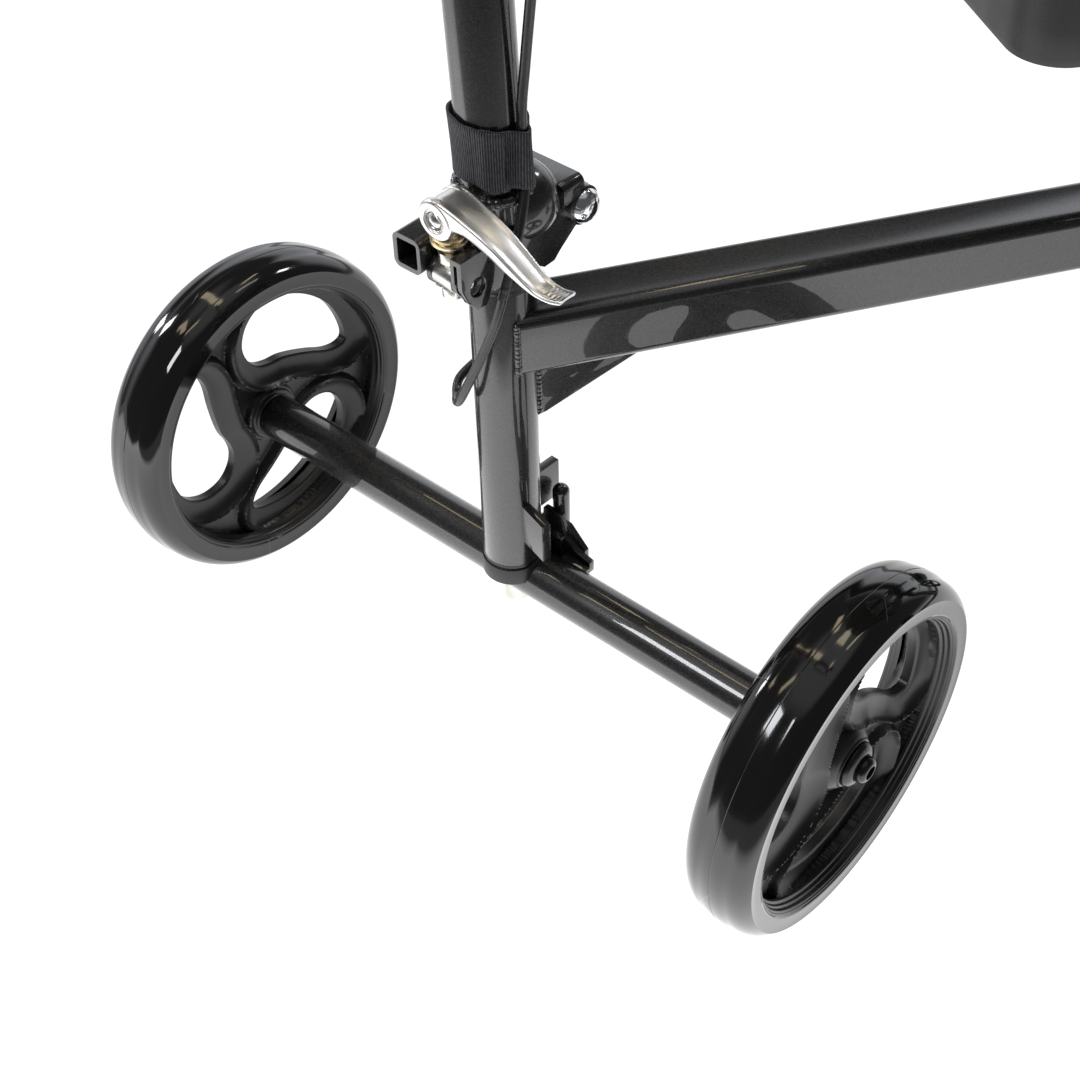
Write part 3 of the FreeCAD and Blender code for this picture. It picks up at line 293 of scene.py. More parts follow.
def cable_skin():
    f = Finish("cable_skin", (0.014, 0.014, 0.014), 0.26)
    f.roughen(f.noise(140, 4.0), 0.18, 0.36)
    f.tint(f.noise(90, 3.0), (0.01, 0.01, 0.01), (0.025, 0.025, 0.026))
    f.bump(f.noise(900, 2.0), 0.00005, 0.4)
    return f.material


PAINT = black_paint()
TYRE = tyre_plastic()
RIM = rim_plastic()
SATIN = satin_black()
CAP = satin_black("cap_plastic", (0.012, 0.012, 0.012), 0.26, 0.00003)
CHROME = bright_metal("chrome", (0.82, 0.83, 0.85), 0.05, 0.14)
POLISHED = bright_metal("polished_casting", (0.9, 0.89, 0.87), 0.27, 0.4, (1, 1, 0.2), 0.00002)
ALUMINIUM = bright_metal("brushed_tube", (0.7, 0.7, 0.71), 0.25, 0.4, (1, 1, 0.05), 0.00006)
BRASS = bright_metal("passivated_washer", (0.72, 0.6, 0.38), 0.2, 0.35)
ZINC = zinc()
WEB = webbing()
VINYL = vinyl()
FOAM = foam_grip()
CABLE = cable_skin()
PAD_PLASTIC = satin_black("pan_plastic", (0.022, 0.022, 0.022), 0.5, 0.00015)
SHOE = satin_black("brake_rubber", (0.03, 0.03, 0.03), 0.7, 0.0002)

BY_SLOT = {
    "gloss_black_frame": PAINT, "zinc_steel": ZINC, "chrome_steel": CHROME, "brass_washer": BRASS,
    "black_casting": SATIN, "rim_plastic": RIM, "tyre_pu": TYRE, "black_plastic": CAP,
    "grip_foam": FOAM, "cable_jacket": CABLE, "strap_fabric": WEB, "pad_vinyl": VINYL,
    "brushed_aluminium": ALUMINIUM, "polished_aluminium": POLISHED, "brake_rubber": SHOE,
}


# ---- mesh helpers --------------------------------------------------------------------------------
def merged(*pieces):
    """Several (points, faces) pieces as one."""
    points, faces = [], []
    for some_points, some_faces in pieces:
        base = len(points)
        points.extend(tuple(p) for p in some_points)
        faces.extend(tuple(i + base for i in f) for f in some_faces)
    return points, faces


def shifted(piece, matrix, flip=False):
    points, faces = piece
    points = [tuple(matrix @ Vector(p)) for p in points]
    return points, [tuple(reversed(f)) for f in faces] if flip else faces


def add(name, piece, material, place, body, nodes=(), sharp=35.0, bevel=0.0):
    """A shaded object from points in millimetres, riding on a body and standing for CAD nodes."""
    points, faces = piece
    mesh = bpy.data.meshes.new(name)
    mesh.from_pydata([tuple(p) for p in points], [], [tuple(f) for f in faces])
    matrix = place if isinstance(place, Matrix) else PLACES[place]
    mesh.transform(matrix)
    work = bmesh.new()
    work.from_mesh(mesh)
    bmesh.ops.remove_doubles(work, verts=work.verts, dist=1e-6)
    if bevel:
        edges = [e for e in work.edges if e.is_manifold and e.calc_face_angle(0) > math.radians(40)]
        bmesh.ops.bevel(work, geom=edges, offset=bevel * 0.001, segments=2, affect="EDGES",
                        profile=0.6, clamp_overlap=True)
    bmesh.ops.recalc_face_normals(work, faces=work.faces)
    for face in work.faces:
        face.smooth = True
    for edge in work.edges:
        edge.smooth = edge.calc_face_angle(0) < math.radians(sharp) if edge.is_manifold else True
    work.to_mesh(mesh)
    work.free()
    obj = bpy.data.objects.new(name, mesh)
    bpy.context.scene.collection.objects.link(obj)
    mesh.materials.append(material)
    if body:
        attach(obj, body)
    if nodes:
        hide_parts(*nodes)
    return obj


BODIES = frame["record"]["behaviour"]["bodies"]
BODY_OF = {node: body for body, nodes in BODIES.items() for node in nodes}
SLOT_OF = {s["node"]: s["material_slot"] for s in frame["record"]["subparts"]}


def soften(node, radius=0.7, extra=None, place="frame", sharp=33.0):
    """The node's own shape with its sharp edges broken, plus welds or other details in place."""
    source = frame["nodes"][node]
    mesh = source.data.copy()
    mesh.transform(source.matrix_world)
    work = bmesh.new()
    work.from_mesh(mesh)
    bmesh.ops.remove_doubles(work, verts=work.verts, dist=2e-6)
    bmesh.ops.dissolve_limit(work, angle_limit=math.radians(0.6), verts=work.verts, edges=work.edges,
                             use_dissolve_boundaries=False)
    if radius:
        edges = [e for e in work.edges if e.is_manifold and e.calc_face_angle(0) > math.radians(sharp)]
        bmesh.ops.bevel(work, geom=edges, offset=radius * 0.001, segments=2, affect="EDGES",
                        profile=0.6, clamp_overlap=True)
    bmesh.ops.triangulate(work, faces=[f for f in work.faces if len(f.verts) > 4])
    work.to_mesh(mesh)
    work.free()
    points = [v.co * 1000 for v in mesh.vertices]
    faces = [tuple(p.vertices) for p in mesh.polygons]
    if extra:
        moved = shifted(extra, Matrix.Scale(1000, 4) @ PLACES[place])
        points, faces = merged((points, faces), moved)
    obj = add(node + "_made", (points, faces), BY_SLOT[SLOT_OF[node]], MM, BODY_OF[node], [node], sharp)
    return obj


def lathe(profile, steps=96, axis="x"):
    """Turns a profile of (along, radius) points about the x or y axis."""
    points, faces = [], []
    count = len(profile)
    for n in range(steps):
        c, s = math.cos(2 * math.pi * n / steps), math.sin(2 * math.pi * n / steps)
        for along, radius in profile:
            points.append((along, radius * c, radius * s) if axis == "x"
                          else (radius * s, along, radius * c))
    for n in range(steps):
        m = (n + 1) % steps
        for i in range(count - 1):
            faces.append((n * count + i, n * count + i + 1, m * count + i + 1, m * count + i))
    return points, faces


def rounded(corners, radius, steps=4):
    """Rounds the inner corners of an open profile of (along, radius of turn) points."""
    out = []
    count = len(corners)
    for n, (a, b) in enumerate(corners):
        if n in (0, count - 1):
            out.append((a, b))
            continue
        here = Vector((a, b))
        before, after = Vector(corners[n - 1]) - here, Vector(corners[n + 1]) - here
        cut = min(radius, before.length * 0.45, after.length * 0.45)
        start, end = here + before.normalized() * cut, here + after.normalized() * cut
        for k in range(steps + 1):
            t = k / steps
            point = start * (1 - t) ** 2 + here * 2 * t * (1 - t) + end * t * t
            out.append((point.x, point.y))
    return out


def smooth_line(points, per_span=8, closed=False):
    """Catmull-Rom curve through points of any dimension."""
    pts = [np.array(p, float) for p in points]
    count = len(pts)
    out = []
    for n in range(count if closed else count - 1):
        if closed:
            a, b, c, d = pts[n - 1], pts[n], pts[(n + 1) % count], pts[(n + 2) % count]
        else:
            b, c = pts[n], pts[n + 1]
            a = pts[n - 1] if n else 2 * b - c
            d = pts[n + 2] if n + 2 < count else 2 * c - b
        for k in range(per_span):
            t = k / per_span
            out.append(0.5 * (2 * b + (c - a) * t + (2 * a - 5 * b + 4 * c - d) * t * t
                              + (3 * b - 3 * c + d - a) * t ** 3))
    if not closed:
        out.append(pts[-1])
    return np.array(out)


def tube_along(path, radius, sides=20, caps=True):
    """Round tube along points, with a frame that doesn't twist. radius may vary per point."""
    path = np.array(path, float)
    tangents = np.gradient(path, axis=0)
    tangents /= np.linalg.norm(tangents, axis=1)[:, None]
    normal = np.cross(tangents[0], (0.3, 0.2, 0.93))
    points, faces = [], []
    for n, (p, t) in enumerate(zip(path, tangents)):
        normal = normal - t * normal.dot(t)
        normal /= np.linalg.norm(normal)
        side = np.cross(t, normal)
        r = radius[n] if hasattr(radius, "__len__") else radius
        for k in range(sides):
            a = 2 * math.pi * k / sides
            points.append(p + r * (normal * math.cos(a) + side * math.sin(a)))
    for n in range(len(path) - 1):
        for k in range(sides):
            m = (k + 1) % sides
            faces.append((n * sides + k, n * sides + m, (n + 1) * sides + m, (n + 1) * sides + k))
    if caps:
        faces.append(tuple(reversed(range(sides))))
        faces.append(tuple((len(path) - 1) * sides + k for k in range(sides)))
    return points, faces


def weld_bead(path, radius, pitch=2.2, seed=1):
    """A laid weld: overlapping ripples along a seam."""
    rng = np.random.default_rng(seed)
    path = np.array(path, float)
    lengths = np.concatenate([[0], np.cumsum(np.linalg.norm(np.diff(path, axis=0), axis=1))])
    count = max(8, int(lengths[-1] / (pitch / 6)))
    at = np.linspace(0, lengths[-1], count)
    fine = np.stack([np.interp(at, lengths, path[:, i]) for i in range(3)], 1)
    ripple = 1 + 0.16 * np.abs(np.sin(at / pitch * math.pi)) + rng.normal(0, 0.03, count)
    fine += rng.normal(0, radius * 0.03, fine.shape)
    ends = np.clip(np.minimum(at, lengths[-1] - at) / radius, 0.25, 1)
    return tube_along(fine, radius * ripple * ends, 12)


# ---- wheels --------------------------------------------------------------------------------------
HOLE = [(66.5, 15.5), (66, 22), (62.5, 33), (56.5, 44.5), (47.5, 54.5), (37, 62.5), (25, 68),
        (13, 70.3), (3, 67.5), (-5, 60.5), (-9, 50), (-7, 40), (-1, 32.8), (7.5, 29.5), (17, 28.3),
        (27, 25), (39, 19.8), (50, 14.2), (58, 12), (64, 12.5)]
WEB_MID, WEB_EDGE, CREST_H, POCKET_H = 0.0, 3.2, 9.6, 5.4
CREST_AT, CREST_SPLIT, HUB_R, BARREL_R = 12.2, 1.4, 15.0, 80.6


def hole_outlines():
    one = smooth_line(HOLE, 7, closed=True)
    out = []
    for turn in (0, 120, 240):
        c, s = math.cos(math.radians(turn)), math.sin(math.radians(turn))
        out.append(one @ np.array([[c, s], [-s, c]]))
    return out


def edge_distance(points, outline):
    """Distance from each point to a closed outline, negative inside it."""
    a, b = outline, np.roll(outline, -1, axis=0)
    best = np.full(len(points), 1e9)
    inside = np.zeros(len(points), bool)
    for p, q in zip(a, b):
        way = q - p
        t = np.clip(((points - p) @ way) / (way @ way), 0, 1)
        gap = np.linalg.norm(points - p - t[:, None] * way, axis=1)
        best = np.minimum(best, gap)
        crosses = (p[1] > points[:, 1]) != (q[1] > points[:, 1])
        rise = q[1] - p[1] if q[1] != p[1] else 1e-9
        inside ^= crosses & (points[:, 0] < p[0] + (points[:, 1] - p[1]) * way[0] / rise)
    return np.where(inside, -best, best)


def ease(t):
    t = np.clip(t, 0, 1)
    return t * t * (3 - 2 * t)


def web_height(points, outlines):
    """Half thickness of the moulded web. It bowls up from each opening to a beaded crest that follows
    the opening; two crests run side by side along a spoke and part round sunk pockets."""
    gaps = np.sort(np.stack([edge_distance(points, o) for o in outlines]), axis=0)
    gap, other = np.maximum(gaps[0], 0), np.maximum(gaps[1], 0)
    radius = np.linalg.norm(points, axis=1)
    crest = np.minimum(CREST_AT, (gap + other) / 2 - CREST_SPLIT)
    along = np.clip(gap / np.maximum(crest, 0.1), 0, 1)
    lip = 1.0 - ease(gap / 1.2)
    bowl = WEB_EDGE + (CREST_H - WEB_EDGE) * (0.25 * along + 0.75 * along ** 3) - 0.7 * lip
    bead = 1.1 * np.exp(-((gap - crest) / 0.8) ** 2)
    beyond = gap - crest
    sink = (CREST_H - POCKET_H) * ease((beyond - 0.6) / 2.8)
    height = bowl + bead - sink
    collar = ease((21.0 - radius) / 4.0)
    height = np.maximum(height, (CREST_H - 1.0) * collar)
    return np.maximum(height, CREST_H * ease((radius - BARREL_R + 1.6) / 1.4))


def web_sheet():
    """The web's front and back, as a triangulated sheet with exact opening edges."""
    step = 0.85
    outlines = hole_outlines()
    ticks = np.arange(-BARREL_R - 1, BARREL_R + 1, step)
    rows = []
    for n, z in enumerate(np.arange(-BARREL_R - 1, BARREL_R + 1, step * 0.866)):
        rows.append(np.stack([ticks + (step / 2 if n % 2 else 0), np.full(len(ticks), z)], 1))
    grid = np.concatenate(rows)
    radius = np.linalg.norm(grid, axis=1)
    near = np.min(np.stack([np.abs(edge_distance(grid, o)) for o in outlines]), axis=0)
    grid = grid[(radius < BARREL_R - step * 0.4) & (radius > HUB_R - 3 + step * 0.4) & (near > step * 0.5)]
    around = np.linspace(0, 2 * math.pi, int(2 * math.pi * BARREL_R / step), endpoint=False)
    ring = np.stack([BARREL_R * np.cos(around), BARREL_R * np.sin(around)], 1)
    around = np.linspace(0, 2 * math.pi, int(2 * math.pi * (HUB_R - 3) / step), endpoint=False)
    inner = np.stack([(HUB_R - 3) * np.cos(around), (HUB_R - 3) * np.sin(around)], 1)
    points, edges = [], []
    for loop in (*outlines, ring, inner):
        base = sum(len(p) for p in points)
        points.append(loop)
        edges += [(base + i, base + (i + 1) % len(loop)) for i in range(len(loop))]
    points = np.concatenate([*points, grid])
    flat, _, faces, *_ = geometry.delaunay_2d_cdt([Vector(p) for p in points], edges, [], 0, 1e-5)
    flat = np.array([tuple(p) for p in flat])
    faces = np.array(faces)
    middle = flat[faces].mean(axis=1)
    radius = np.linalg.norm(middle, axis=1)
    gap = np.min(np.stack([edge_distance(middle, o) for o in outlines]), axis=0)
    faces = faces[(gap > 0) & (radius < BARREL_R) & (radius > HUB_R - 3)]
    height = web_height(flat, outlines)
    front = [(WEB_MID + h, y, z) for h, (y, z) in zip(height, flat)]
    back = [(WEB_MID - h, y, z) for h, (y, z) in zip(height, flat)]
    count = len(flat)
    sides = [tuple(f) for f in faces] + [tuple(count + i for i in reversed(f)) for f in faces]
    used = {}
    for f in faces:
        for i, j in ((f[0], f[1]), (f[1], f[2]), (f[2], f[0])):
            used[(i, j)] = used.get((i, j), 0) + 1
    for i, j in list(used):
        if (j, i) not in used:
            r = np.linalg.norm(flat[i])
            if HUB_R + 1 < r < BARREL_R - 0.5:
                sides.append((j, i, count + i, count + j))
    return front + back, sides


def barrel():
    """The rim's barrel: a narrow lip on the inner side, a deep stepped well on the outer side."""
    inner = [(-10.5, 79.2), (-12.6, 80.0), (-14.4, 80.4), (-15.2, 81.0), (-16.6, 81.2), (-17.2, 81.9),
             (-17.9, 82.1), (-17.9, 83.5)]
    outer = [(17.9, 83.5), (17.9, 82.4), (17.2, 82.2), (16.8, 81.3), (14.8, 81.0), (14.2, 80.1),
             (12.6, 79.9), (12.0, 78.7), (10.4, 78.4)]
    return merged(lathe(rounded(inner, 0.5, 3), 192), lathe(rounded(outer, 0.4, 3), 192))


def hub(side):
    """Stepped boss rings on both faces round the bearing seats."""
    inner = rounded([(-4, 20.0), (-8.6, 16.2), (-10.2, 15.4), (-10.4, 13.2), (-11.3, 12.9), (-11.3, 11.2),
                     (-10.6, 11.1), (-10.4, 7.0)], 0.5, 3)
    outer = rounded([(4, 20.5), (9.0, 17.5), (11.4, 15.0), (12.2, 13.8), (13.3, 13.4), (13.3, 11.2),
                     (12.6, 11.1), (12.4, 7.0)], 0.6, 3)
    return merged(lathe(inner, 96), lathe(outer, 96))


def tyre():
    """Round-shouldered tread with a moulding line, ending at a crisp edge round each flat wall."""
    crown = [(0.0, 99.86), (0.3, 100.0), (1.2, 100.0), (3.0, 99.9), (5.4, 99.55), (7.84, 99.0)]
    shoulder = [(7.84 + 13.0 * math.sin(math.radians(a)), 86.0 + 13.0 * math.cos(math.radians(a)))
                for a in range(5, 61, 5)]
    wall = [(19.1, 92.4), (19.0, 91.9), (18.75, 88.0), (18.7, 84.6), (18.4, 83.9), (17.8, 83.5)]
    right = crown[1:] + shoulder + wall
    return lathe([(-a, b) for a, b in reversed(right)] + crown[:1] + right, 288)


def hex_socket(along, size, depth):
    points = []
    for a in (along, along - depth):
        for k in range(6):
            c, s = math.cos(math.radians(60 * k + 20)), math.sin(math.radians(60 * k + 20))
            points.append((a, size * c, size * s))
    faces = [(k, (k + 1) % 6, 6 + (k + 1) % 6, 6 + k) for k in range(6)] + [tuple(range(6, 12))]
    return points, faces


def wheel_cap():
    """Shallow domed plastic cap under the bolt head."""
    return lathe(rounded([(13.4, 6.0), (13.4, 12.3), (14.6, 12.5), (16.4, 11.4), (17.6, 9.4), (18.0, 7.9),
                          (17.4, 7.4)], 0.7, 4), 96)


def button_bolt():
    """Button-head bolt with a hexagon socket, in the wheel's own axis."""
    head = rounded([(17.4, 7.2), (19.6, 7.3), (21.6, 6.6), (22.7, 5.3), (23.0, 4.4), (22.9, 3.9)], 0.9, 4)
    ring = lathe(head, 96)
    return merged(ring, hex_socket(22.9, 3.9, 3.2))


web = web_sheet()
MIRROR = Matrix.Scale(-1, 4, (1, 0, 0))
for name, place, side, y, phase in WHEELS:
    turn = Matrix.Rotation(math.radians(phase), 4, "X")
    at = Matrix.Translation((side * HALF_TRACK, y, WHEEL_R))
    hand = Matrix.Identity(4) if side > 0 else MIRROR
    body = name + "_wheel"
    spun = PLACES[place] @ at @ hand @ turn
    pieces = merged(web, barrel(), hub(side))
    rim = add(name + "_moulded_rim", pieces, RIM, spun, body, [name + "_rim"], 32)
    outer = add(name + "_cast_tyre", tyre(), TYRE, PLACES[place] @ at, body, [name + "_tyre"], 18)

for end, place, y, body in (("front", "steer", AXLE_OFFSET, "steerer"), ("rear", "frame", REAR_Y, "frame")):
    sets = []
    for side in (1, -1):
        hand = Matrix.Identity(4) if side > 0 else MIRROR
        sets.append(Matrix.Translation((side * HALF_TRACK, y, WHEEL_R)) @ hand)
    caps = merged(*[shifted(wheel_cap(), m) for m in sets])
    spacers = merged(*[shifted(lathe([(-14.0, 5.2), (-14.0, 9.0), (-11.4, 9.0), (-11.4, 5.2)], 48), m)
                       for m in sets])
    both = add(end + "_wheel_caps", merged(caps, spacers), CAP, place, body, [end + "_axle_washers"])
    bolts = merged(*[shifted(button_bolt(), m) for m in sets])
    head = add(end + "_button_bolts", bolts, CAP, place, body, [end + "_axle_bolts"])


# ---- cam lever -----------------------------------------------------------------------------------
ARM_LINE = [(-4.0, 347.6), (-1.0, 348.9), (3, 349.2), (9.7, 347.6), (18.3, 344.5), (25.2, 341.9),
            (33.6, 337.9), (42.6, 332.5), (48.8, 328.8), (54.4, 326.2), (60.1, 325.7), (64.0, 326.4),
            (67.6, 327.5)]
ARM_HALF = ((0.0, 9.0), (0.15, 8.9), (0.35, 8.1), (0.6, 7.2), (0.8, 6.2), (1.0, 5.4))
ARM_DEEP = ((0.0, 3.5), (0.1, 8.5), (0.2, 9.5), (0.3, 6.0), (0.6, 5.0), (0.75, 3.4), (0.85, 2.2),
            (1.0, 1.9))


def along_of(table, t):
    return float(np.interp(t, [a for a, _ in table], [b for _, b in table]))


def cam_lever():
    """Cast lever: two round cheeks with a stepped eye, and a curved channel that ends in a ribbed tip."""
    pieces = []
    for sign in (1, -1):
        cheek = [(9.05, 4.4), (7.2, 4.5), (7.2, 5.5), (9.0, 5.8), (9.3, 6.4), (9.2, 8.2), (8.6, 9.3),
                 (7.6, 9.7), (5.4, 9.7), (4.7, 9.1), (4.6, 4.4)]
        ring = lathe(rounded([(a * sign, b) for a, b in cheek], 0.5, 3), 64, "y")
        pieces.append(shifted(ring, Matrix.Translation((SWING_X, SWING_Y, CAM_Z))))
    line = smooth_line(ARM_LINE, 8)
    along = np.concatenate([[0], np.cumsum(np.linalg.norm(np.diff(line, axis=0), axis=1))])
    length = along[-1]
    along /= length
    tangents = np.gradient(line, axis=0)
    tangents /= np.linalg.norm(tangents, axis=1)[:, None]
    points, faces = [], []
    for n, (p, t) in enumerate(zip(line, tangents)):
        half, deep = along_of(ARM_HALF, along[n]), along_of(ARM_DEEP, along[n])
        skin = min(2.0, deep * 0.9)
        left = (1 - along[n]) * length
        trim = math.sqrt(max(0.0, 1 - (1 - min(1, left / 1.8)) ** 2))
        half = half - 1.2 + 1.2 * trim
        rib = 0.22 * math.sin(left * 2 * math.pi / 2.3) if 1.6 < left < 12.5 else 0.0
        inner = max(0.3, half - 2.1)
        side = [(-inner, -deep), (-half + 0.6, -deep), (-half, -deep + 0.6), (-half, -1.0),
                (-half + 0.35, -0.2), (-half + 1.0, 0.1), (-half + 1.7, -0.05),
                (-half + 2.5, -0.35 + rib), (-half * 0.4, -0.1 + rib)]
        loop = side + [(-a, b) for a, b in reversed(side)]
        loop += [(inner * 0.9, -skin), (0.0, -skin * 0.9), (-inner * 0.9, -skin)]
        up = np.array((-t[1], t[0]))
        for across, rise in loop:
            points.append((p[0] + up[0] * rise * trim, SWING_Y + across, p[1] + up[1] * rise * trim))
    count = len(points) // len(line)
    for n in range(len(line) - 1):
        for k in range(count):
            m = (k + 1) % count
            faces.append((n * count + k, n * count + m, (n + 1) * count + m, (n + 1) * count + k))
    faces.append(tuple(range(count)))
    faces.append(tuple((len(line) - 1) * count + k for k in reversed(range(count))))
    pieces.append((points, faces))
    return merged(*pieces)


lever = add("cast_cam_lever", cam_lever(), POLISHED, "steer", "cam_lever", ["cam_lever"], 50)
pin_shape = []
for sign in (1, -1):
    dome = [(sign * (10.1 - 0.13 * r * r), r) for r in (0.05, 1.2, 2.4, 3.2, 3.8, 4.15)]
    pin_shape.append(lathe(dome + [(sign * 6.0, 4.2)], 40, "y"))
pin_shape.append(lathe([(-9.0, 4.1), (9.0, 4.1)], 40, "y"))
pin = add("cam_barrel_pin", shifted(merged(*pin_shape), Matrix.Translation((SWING_X, SWING_Y, CAM_Z))),
          ZINC, "steer", "swing_bolt", ["cam_pin"])


# ---- strap and cables ------------------------------------------------------------------------------
def placed(place, points):
    """Points of one of the drawing frames, in the finished frame's metres."""
    return [tuple(place @ Vector(p)) for p in points]


def beam_line(y, drop=6.0):
    return (-(BEAM_W / 2 + CABLE_R + 0.6), y, BEAM_Z + BEAM_PITCH * y - drop)


def cable(name, route, body, nodes, blend=None, radius=CABLE_R, skin=CABLE):
    """A smooth round cable or wire through points in metres."""
    line = smooth_line(route, 14)
    obj = add(name, tube_along(line * 1000, radius, 20), skin, MM, None if blend else body, nodes)
    if blend:
        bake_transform(obj)
    return obj


upper = placed(LEAN, (
    (92, -27, 877), (78, -28, 872), (68, -29, 850), (64, -26, 800), (65, -19, 750), (65, -11, 696),
    (60, -3, 640), (52, 2, 586), (43, 4, 534), (34, 4, 484), (26, 4, 440), (20.5, 3, 404),
    (18.1, 1.5, 380), (17.9, 1.5, 349)))
hinge = placed(LEAN, ((17.9, 1.5, 351), (18.0, 1.0, 347)))
hinge += placed(STEER, ((20.0, -5.0, 339), (22.2, -12, 326), (22.2, -16.5, 314), (20.8, -19.8, 302),
                        (20.0, -20.8, 298)))
loop = placed(STEER, ((21.3, -19.0, 305), (20.8, -19.8, 302), (17.3, -22.5, 285), (9, -25, 262),
                      (0.5, -26, 243), (-9, -23.5, 226), (-19, -15, 218), (-26, -4, 221)))
loop += placed(FRAME, ((-27.5, 1, 229), (-26.0, 20, 241), beam_line(42), beam_line(52)))
run = [beam_line(42 + 54 * n, 6.0 + (0.5 if n % 2 else 0.0)) for n in range(8)]
run += [(-24.5, 462, 262), (-44, 492, 245), (-80, 496, 232), (-112, 472, 217), (-142, 450, 203),
        (-160, 462, 197), (-160, REAR_Y - 86, 195)]
run = placed(FRAME, run)
column_grip, bar_grip = placed(LEAN, ((30, 4, 470), (66, -28, 870)))
cable("cable_to_lever", upper, None, ["cable_upper"],
      ("column", "handlebar_unit", column_grip, bar_grip))
cable("cable_past_hinge", hinge, None, ["cable_hinge"],
      ("steerer", "column", hinge[-2], hinge[1]))
cable("cable_round_head", loop, None, ["cable_loop"],
      ("frame", "steerer", loop[9], loop[3]))
cable("cable_on_beam", run, "frame", ["cable_frame"])
wire = placed(FRAME, [(-160, REAR_Y - back, 195) for back in (85.5, 75, 68, 60, 52, 45, 40, 34)])
cable("brake_inner_wire", wire, None, ["brake_wire"], ("frame", "brake_arm", wire[5], wire[2]),
      WIRE_R, ZINC)


def strap():
    """Hook-and-loop strap wrapped once round the tube and the cable, with its free end lapped over."""
    rows = 12
    outline = []
    for deg in range(-62, 292, 4):
        a = math.radians(deg)
        radius = COLUMN_R + 1.1
        c, s = math.cos(a), math.sin(a)
        bulge = 4.8 * math.exp(-((deg - 5) / 13.0) ** 2)
        outline.append(((radius + bulge) * c, (radius + bulge) * s))
    lap = []
    for deg in range(292, 334, 4):
        a = math.radians(deg)
        t = (deg - 292) / 41
        radius = COLUMN_R + 1.3 + 1.5 * ease(np.array(t / 0.4)) + 1.2 * t ** 3
        lap.append((float(radius * math.cos(a)), float(radius * math.sin(a))))
    outline += lap
    line = smooth_line(outline, 2)
    points, faces = [], []
    count = len(line)
    for n, (x, y) in enumerate(line):
        a = math.atan2(y, x)
        tilt = 3.0 * math.cos(a - math.radians(240))
        flare = 0.25 * math.sin(n * 0.33)
        for r in range(rows + 1):
            t = r / rows
            waist = 1 + 0.012 * math.sin(n * 0.21 + 3 * t) + 0.02 * (2 * t - 1) ** 2
            points.append((x * waist, y * waist, STRAP_Z + tilt + STRAP_H * (t - 0.5) + flare))
    for n in range(count - 1):
        for r in range(rows):
            i = n * (rows + 1) + r
            faces.append((i, i + 1, i + rows + 2, i + rows + 1))
    return points, faces, line


points, faces, outline = strap()
wrap = add("cable_strap_cloth", (points, faces), WEB, "lean", None, ["cable_strap"], 60)
thick = wrap.modifiers.new("thickness", "SOLIDIFY")
thick.thickness = 0.0012
thick.offset = 1
with bpy.context.temp_override(object=wrap, active_object=wrap, selected_objects=[wrap]):
    bpy.ops.object.modifier_apply(modifier=thick.name)
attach(wrap, "column")


# ---- welds and the remaining metalwork -----------------------------------------------------------
def ring_path(radius, z, start=0.0, end=360.0, count=90):
    return [(radius * math.cos(math.radians(a)), radius * math.sin(math.radians(a)), z)
            for a in np.linspace(start, end, count)]


def upright(x, y, z0, z1):
    return [(x, y, z) for z in np.linspace(z0, z1, 12)]


column_weld = weld_bead(ring_path(16.4, 341.2), 2.3, 3.2, 3)
head_weld = merged(weld_bead(upright(16.0, 3.2, 243, 274), 1.6, 2.4, 4),
                   weld_bead(upright(-16.0, 3.2, 243, 274), 1.6, 2.4, 5),
                   weld_bead(upright(3.0, 15.4, 207, 240), 1.9, 2.6, 6),
                   weld_bead(upright(-3.0, 15.4, 207, 240), 1.9, 2.6, 7))
seam = [(2.9, y, BEAM_Z + BEAM_PITCH * y - BEAM_H / 2 - 0.4) for y in np.linspace(19, 72, 20)]
far_seam = [(-x, y, z) for x, y, z in seam]
gusset_weld = merged(weld_bead(seam, 1.4, 2.4, 8), weld_bead(far_seam, 1.4, 2.4, 9))
stem_weld = weld_bead(ring_path(14.5, 113.0), 1.3, 2.4, 10)

soften("column_tube", 0.3, column_weld, "lean")
soften("head_tube", 0.4, head_weld)
soften("frame_gussets", 0.8, gusset_weld)
soften("steerer_stem", 0.3)
soften("stem_rings", 0.5, stem_weld, "steer")
for node, radius in (("upper_hinge_bracket", 0.9), ("lower_hinge_bracket", 0.8), ("swing_bolt", 0.5),
                     ("clamp_washers", 0.5), ("stop_bracket", 0.7), ("front_crossbar", 0.4),
                     ("rear_crossbar", 0.4), ("main_beam", 0.3), ("head_bushes", 0.4), ("bar_clamp", 1.2),
                     ("brake_perch", 1.0), ("brake_lever", 0.5), ("brake_arm", 0.9), ("brake_bracket", 0.7),
                     ("brake_shoe", 0.6), ("height_clamp", 0.9), ("height_lever", 0.9), ("pad_clamp", 0.9),
                     ("pad_lever", 0.9), ("pad_post", 0.8), ("pad_sleeve", 0.4), ("stem_bolt", 0.7),
                     ("pad_bolts", 0.6), ("handlebar", 0.3), ("stem_tube", 0.3)):
    soften(node, radius)
for end in ("front_left", "front_right", "rear_left", "rear_right"):
    soften(end + "_bearings", 0.4)


